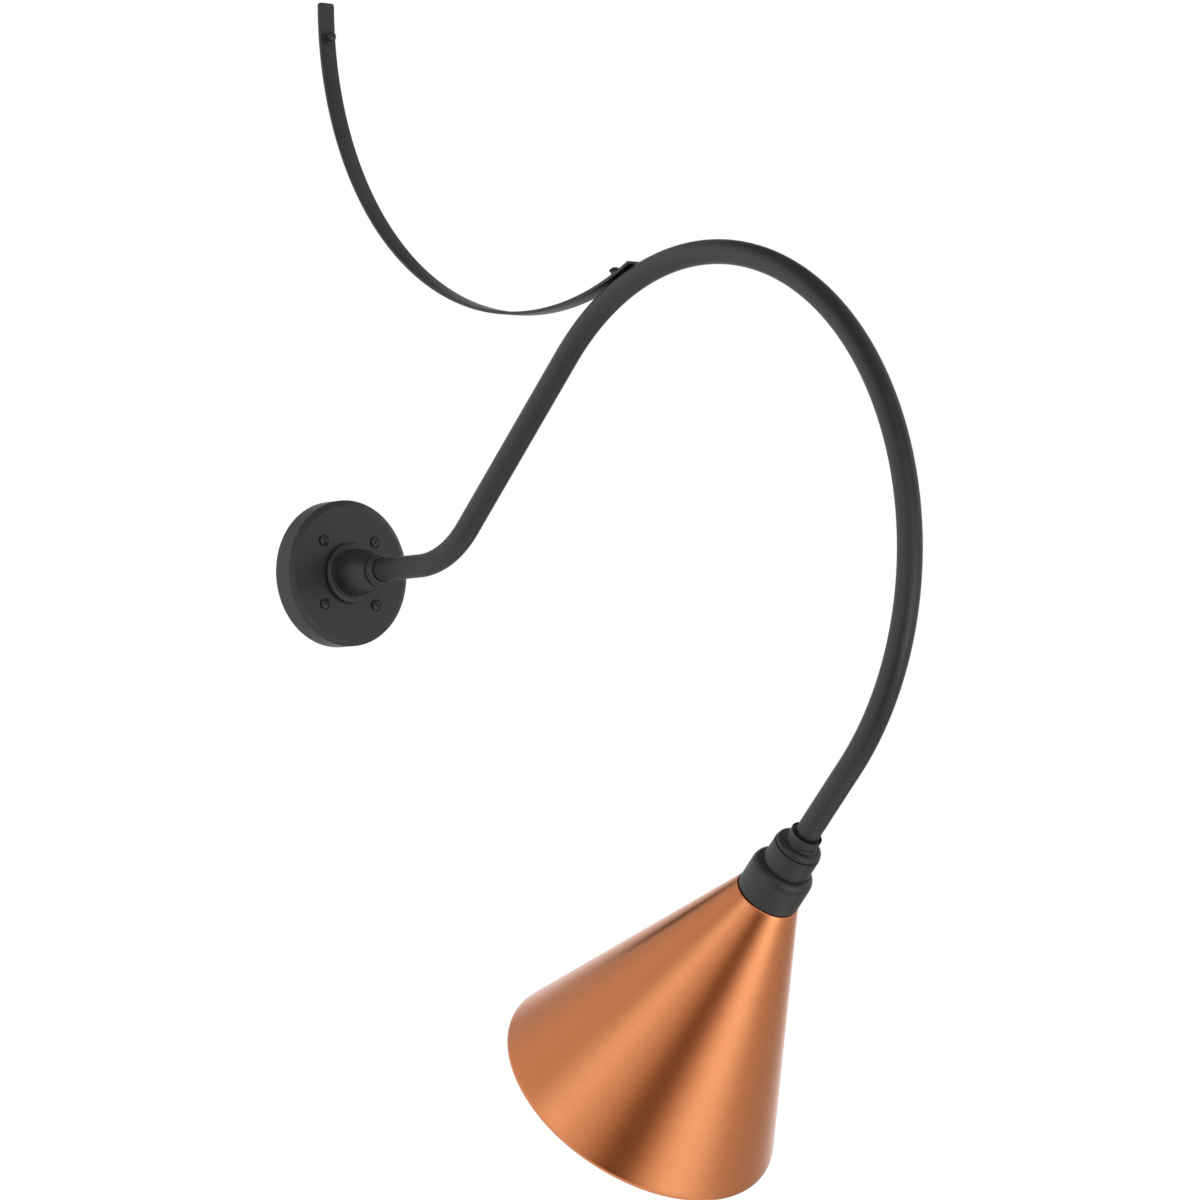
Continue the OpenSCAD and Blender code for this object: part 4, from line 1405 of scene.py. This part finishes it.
@dataclass
class Lamp:
    """The lampholder and the screw-in lamp."""

    cap_r: float = 13.15 * MM
    cap_bore_r: float = 12.35 * MM
    cap_lip_r: float = 9.15 * MM
    shell_r: float = 14.03 * MM
    shell_bore_r: float = 13.25 * MM
    shell_lip_r: float = 9 * MM
    shell_play: float = 0.1 * MM
    wall: float = 0.8 * MM
    swing: float = 0.3 * MM
    glass_t: float = 1.0 * MM
    glass_r: float = 30 * MM
    length: float = 110 * MM
    cap_at: float = 134.4 * MM
    cap_h: float = 21 * MM
    cap_foot_r: float = 10.6 * MM
    cap_inner_r: float = 10.65 * MM
    cap_inner_h: float = 2.5 * MM
    cap_rim_h: float = 0.3 * MM
    cap_rim_w: float = 0.2 * MM
    cap_thread_end: float = 16.5 * MM
    thread_from: float = 2 * MM
    shell_thread_end: float = 151.2 * MM
    shell_back: float = 1 * MM
    shell_floor_r: float = 14.0 * MM
    shell_ease: float = 0.5 * MM
    neck_r: float = 12.3 * MM
    neck_from: float = 19.5 * MM
    flare_from: float = 26.5 * MM
    flare_pull: float = 40 * MM
    flare_end: float = -30.0

    def build(self, bench: Bench) -> None:
        """Makes the holder's and the lamp's pieces.

        Args:
            bench: the bench that makes and dresses the pieces.
        """
        bench.soften("holder_body", Slot.PORCELAIN, 0.8 * MM)
        bench.keep(Slot.STEEL, "holder_bridge", "holder_screws")
        bench.keep(Slot.BRASS, "holder_contact")
        bench.make("holder_screw_shell", [self.shell()], Slot.BRASS, stands_for=("holder_shell",))
        bench.make(
            "lamp_frosted_bulb", [self.glass()], Slot.OPAL, body="lamp", stands_for=("lamp_glass",)
        )
        bench.make(
            "lamp_rolled_cap", [self.cap()], Slot.BRASS, body="lamp", stands_for=("lamp_cap",)
        )
        bench.keep(Slot.BLACK_GLASS, "lamp_insulator")
        bench.keep(Slot.STEEL, "lamp_contact")

    def ringed(self, profile: np.ndarray, waved: np.ndarray) -> Sheet:
        """A turned surface some of whose rows swing in and out with the thread.

        The swing is a cosine of the station in pitches less the angle in turns.

        Args:
            profile: radius and station of each row.
            waved: how much of the thread each row takes, from 0 to 1.

        Returns:
            The sheet in the light's frame.
        """
        angle = round_steps(72)[None, :]
        r, s = profile[:, :1], profile[:, 1:]
        wave = np.cos(2 * math.pi * s / LINES.thread_pitch - angle)
        r = r + waved[:, None] * (self.swing * wave - self.swing)
        grid = np.stack(np.broadcast_arrays(r * np.cos(angle), r * np.sin(angle), s), -1)
        return Sheet(LINES.head().place(grid), wrap_rows=True)

    def thread(
        self, radius: float, first: float, last: float, rows: int
    ) -> tuple[np.ndarray, np.ndarray]:
        """Rows that carry a thread.

        Args:
            radius: radius of its crest.
            first: station of the first row.
            last: station of the last row.
            rows: how many rows.

        Returns:
            Radius and station of each row, and how much of the thread it takes.
        """
        number = np.arange(rows)
        line = np.stack([np.full(rows, radius), np.linspace(first, last, rows)], 1)
        return line, np.clip(np.minimum(number, rows - 1 - number) / 5, 0, 1)

    def cap(self) -> Sheet:
        """The lamp's cap: a cone, the rolled thread and a plain collar, hollow inside.

        Returns:
            The sheet in the light's frame.
        """
        at, end = self.cap_at, self.cap_at + self.cap_h
        first, last = at + self.thread_from, at + self.cap_thread_end
        thread, fade = self.thread(self.cap_r, first, last, 44)
        head = np.array([[self.cap_lip_r, at], [self.cap_foot_r, at]])
        rows = [
            [self.cap_r, at + self.cap_h - self.cap_rim_h],
            [self.cap_r - self.cap_rim_w, end],
            [self.cap_bore_r, end],
            [self.cap_bore_r, at + self.cap_inner_h],
            [self.cap_inner_r, at + self.wall],
            [self.cap_lip_r, at + self.wall],
        ]
        tail = np.array(rows)
        waved = np.concatenate([np.zeros(len(head)), fade, np.zeros(len(tail))])
        return self.ringed(np.concatenate([head, thread, tail]), waved)

    def shell(self) -> Sheet:
        """The holder's screw shell: a plain outside and the thread's mate inside.

        Returns:
            The sheet in the light's frame.
        """
        top, end = LINES.shell_top, LINES.holder_end - self.shell_back
        crest = self.cap_r + self.shell_play
        thread, fade = self.thread(crest, top + self.thread_from, self.shell_thread_end, 66)
        rows = [
            [self.shell_lip_r, top],
            [self.shell_floor_r, top],
            [self.shell_r, top + self.shell_ease],
            [self.shell_r, end],
            [self.shell_bore_r, end],
        ]
        outer = np.array(rows)
        floor = top + self.wall
        inner = np.array([[self.shell_bore_r, floor], [self.shell_lip_r, floor]])
        waved = np.concatenate([np.zeros(len(outer)), fade, np.zeros(len(inner))])
        return self.ringed(np.concatenate([outer, thread[::-1], inner]), waved)

    def glass(self) -> Sheet:
        """The frosted bulb: a neck, a smooth flare and a spherical crown, hollow inside.

        The flare is a cubic between the neck, where it runs along the axis, and the sphere,
        where it runs along the sphere's own slope.

        Returns:
            The sheet in the light's frame.
        """

        def outline(inset: float) -> np.ndarray:
            """Neck, flare and crown, moved inwards by inset.

            Args:
                inset: how far inwards.

            Returns:
                Radius and station of each row.
            """
            neck = self.neck_r - inset
            ball = self.glass_r - inset
            mid = self.length - self.glass_r
            a = math.radians(self.flare_end)
            start = np.array([neck, self.flare_from])
            stop = np.array([ball * math.cos(a), mid + ball * math.sin(a)])
            pull = self.flare_pull
            t = np.linspace(0.0, 1.0, 22)[:, None]
            flare = (
                (2 * t**3 - 3 * t**2 + 1) * start
                + (t**3 - 2 * t**2 + t) * pull * np.array([0.0, 1.0])
                + (-2 * t**3 + 3 * t**2) * stop
                + (t**3 - t**2) * pull * np.array([-math.sin(a), math.cos(a)])
            )
            b = np.linspace(a, math.pi / 2, 40)[1:]
            crown = np.stack([ball * np.cos(b), mid + ball * np.sin(b)], 1)
            return np.concatenate([[[neck, self.neck_from]], flare, crown])

        profile = np.concatenate([outline(0.0), outline(self.glass_t)[::-1]])
        return turned(profile, LINES.head(LINES.lamp_at), 96)


# Studio


@dataclass(frozen=True)
class Zone:
    """A softbox or a dark flag of the studio, as seen in reflections.

    Its share of a direction is e to the power of tight times the cosine less one, and its
    gain times that share is added to the studio's level, so a flag has a negative gain.
    """

    toward: Corner
    tight: float
    gain: Corner


ZONES: dict[str, Zone] = {
    "front_softbox": Zone((0.17, -0.85, -0.49), 25, (2.52, 2.80, 2.88)),
    "left_softbox": Zone((-0.96, -0.12, 0.26), 27, (0.62, 0.78, 0.90)),
    "left_flag": Zone((-0.61, -0.55, -0.57), 11, (-1.08, -1.16, -1.24)),
    "ceiling_flag": Zone((0.22, 0.34, 0.91), 5, (-1.33, -1.34, -1.34)),
    "upper_left_flag": Zone((-0.59, -0.26, 0.77), 7, (-1.86, -1.90, -1.94)),
    "upper_right_flag": Zone((0.42, -0.73, 0.54), 13, (-1.06, -1.02, -1.00)),
    "table_edge_flag": Zone((0.13, -0.64, -0.75), 34, (-2.04, -2.00, -1.90)),
    "low_right_flag": Zone((0.67, 0.28, -0.69), 2, (-0.79, -0.80, -0.82)),
}


def stand(obj: bpy.types.Object, axes: Sequence[np.ndarray], place: Sequence[float]) -> None:
    """Puts an object in the scene at a place, its own X, Y and Z along the three axes.

    Args:
        obj: the object.
        axes: directions of its own X, Y and Z.
        place: where its origin goes.
    """
    m = np.eye(4)
    m[:3, :3] = np.stack(axes, 1)
    m[:3, 3] = place
    obj.matrix_world = m.T.tolist()
    bpy.context.scene.collection.objects.link(obj)


@dataclass
class Studio:
    """Camera, lamps, world and floor."""

    floor_z: float = -1.75
    floor_r: float = 1.25
    floor_out: float = 0.4
    floor_sides: int = 96
    level: Corner = (1.100, 1.085, 1.075)
    plain: float = 0.62
    backdrop: Corner = (0.634, 0.771, 0.057)
    backdrop_tight: float = 14.0
    backdrop_gain: float = 1.6
    darkest: float = 0.02
    lens: float = 160.78
    sensor: float = 36.0

    def build(self) -> None:
        """Sets the whole studio."""
        self.camera()
        self.world()
        self.floor()
        self.lamps()
        bpy.context.scene.view_settings.view_transform = "Standard"

    def camera(self) -> None:
        """The camera, at the viewing angle that the fitted lines of the light gave."""
        cam = bpy.data.cameras.new("camera")
        cam.sensor_width = self.sensor
        cam.lens = self.lens
        obj = bpy.data.objects.new("camera", cam)
        right = np.array([0.7732672, -0.63373284, -0.02098873])
        up = np.array([-0.01995947, -0.0574121, 0.99815103])
        ahead = np.array([0.63376609, 0.77141852, 0.05704386])
        eye = np.array([-3254.017, -4385.152, -343.270]) * MM
        stand(obj, (right, up, -ahead), eye)
        bpy.context.scene.camera = obj

    def world(self) -> None:
        """A white backdrop, a plain level of light, and the studio that reflections show.

        The backdrop is white for camera, glossy and transmission rays. In reflections the
        studio's softboxes and dark flags stand round it: each adds its gain by its share of
        the direction, nothing falls under a small floor, and within a cone behind the light
        the sum blends back to the backdrop's white.
        """
        world = bpy.data.worlds.new("studio")
        bpy.context.scene.world = world
        world.use_nodes = True
        tree = world.node_tree
        tree.nodes.clear()
        path = tree.nodes.new("ShaderNodeLightPath")
        way = tree.nodes.new("ShaderNodeTexCoord").outputs["Generated"]
        total = add_node(tree, "CombineXYZ", dict(enumerate(self.level))).outputs[0]
        for zone in ZONES.values():
            terms = {0: zone.gain, 1: self.share(tree, way, zone.toward, zone.tight), 2: total}
            total = add_node(tree, "VectorMath", terms, operation="MULTIPLY_ADD").outputs[0]
        limits = {0: total, 1: (self.darkest, self.darkest, self.darkest)}
        least = add_node(tree, "VectorMath", limits, operation="MAXIMUM")
        cone = self.share(tree, way, self.backdrop, self.backdrop_tight)
        behind = math_node(tree, "MULTIPLY", cone, self.backdrop_gain)
        apart = math_node(tree, "SUBTRACT", 1.0, math_node(tree, "MINIMUM", behind, 1.0))
        apart = math_node(tree, "MULTIPLY", apart, path.outputs["Is Glossy Ray"])
        white = (1, 1, 1, 1)
        colours = {"A": white, "Factor": apart, "B": least.outputs[0]}
        blend = add_node(tree, "Mix", colours, data_type="RGBA")
        seen = add_node(tree, "Background", {"Color": blend.outputs["Result"]})
        light = add_node(tree, "Background", {"Color": white, "Strength": self.plain})
        flag = math_node(
            tree, "MAXIMUM", path.outputs["Is Camera Ray"], path.outputs["Is Transmission Ray"]
        )
        flag = math_node(tree, "MAXIMUM", flag, path.outputs["Is Glossy Ray"])
        shaders = {"Fac": flag, 1: light.outputs[0], 2: seen.outputs[0]}
        mix = add_node(tree, "MixShader", shaders)
        add_node(tree, "OutputWorld", {"Surface": mix.outputs[0]})

    def share(
        self, tree: bpy.types.NodeTree, way: bpy.types.NodeSocket, toward: Corner, tight: float
    ) -> bpy.types.NodeSocket:
        """Share of a ray's direction that a zone has.

        Args:
            tree: the world's node tree.
            way: socket of the ray's direction.
            toward: the zone's direction.
            tight: how fast the share falls off.

        Returns:
            The socket of e to the power of tight times the cosine less one.
        """
        axis = tuple(np.array(toward) / np.linalg.norm(toward))
        dot = add_node(tree, "VectorMath", {0: way, 1: axis}, operation="DOT_PRODUCT")
        off = math_node(tree, "SUBTRACT", dot.outputs["Value"], 1.0)
        return math_node(tree, "EXPONENT", math_node(tree, "MULTIPLY", off, tight), 0.0)

    def floor(self) -> None:
        """A pale round floor well below the light."""
        t = round_steps(self.floor_sides)
        x, y = self.floor_r * np.cos(t), self.floor_r * np.sin(t) - self.floor_out
        ring = np.stack([x, y, np.full(self.floor_sides, self.floor_z)], 1)
        mesh = bpy.data.meshes.new("floor")
        mesh.from_pydata(ring.tolist(), [], [list(range(self.floor_sides))])
        obj = bpy.data.objects.new("floor", mesh)
        mat = bpy.data.materials.new("pale_floor")
        mat.use_nodes = True
        bsdf = mat.node_tree.nodes["Principled BSDF"]
        bsdf.inputs["Base Color"].default_value = (0.86, 0.86, 0.86, 1)
        bsdf.inputs["Roughness"].default_value = 0.9
        mesh.materials.append(mat)
        bpy.context.scene.collection.objects.link(obj)

    def lamps(self) -> None:
        """Three large soft lamps: left front, right front and above."""
        for name, place, aim, size, power in (
            ("left_softbox", (-2.6, -2.2, 1.6), (0, -0.5, -0.1), 1.8, 60.0),
            ("right_softbox", (2.4, -2.6, 0.9), (0, -0.5, -0.2), 1.6, 38.0),
            ("top_softbox", (0.0, -0.6, 2.6), (0, -0.5, 0.0), 2.2, 40.0),
        ):
            lamp = bpy.data.lights.new(name, "AREA")
            lamp.use_shadow = True
            lamp.shape = "SQUARE"
            lamp.size = size
            lamp.energy = power
            obj = bpy.data.objects.new(name, lamp)
            obj.visible_glossy = False
            z = np.array(place, float) - np.array(aim, float)
            z /= np.linalg.norm(z)
            side = np.cross([0.0, 0.0, 1.0], z)
            side /= np.linalg.norm(side)
            stand(obj, (side, np.cross(z, side), z), place)


def main() -> None:
    """Builds the studio and every sub-assembly in order."""
    logging.basicConfig(level=logging.INFO, format="%(name)s %(message)s")
    Studio().build()
    bench = Bench()
    for part in (WallPlate(), Arm(), Stay(), Head(), Shade(), Lamp()):
        part.build(bench)
        LOG.info("%s built", type(part).__name__)
    LOG.info("%d pieces made", bench.made)


if __name__ == "__main__":
    main()
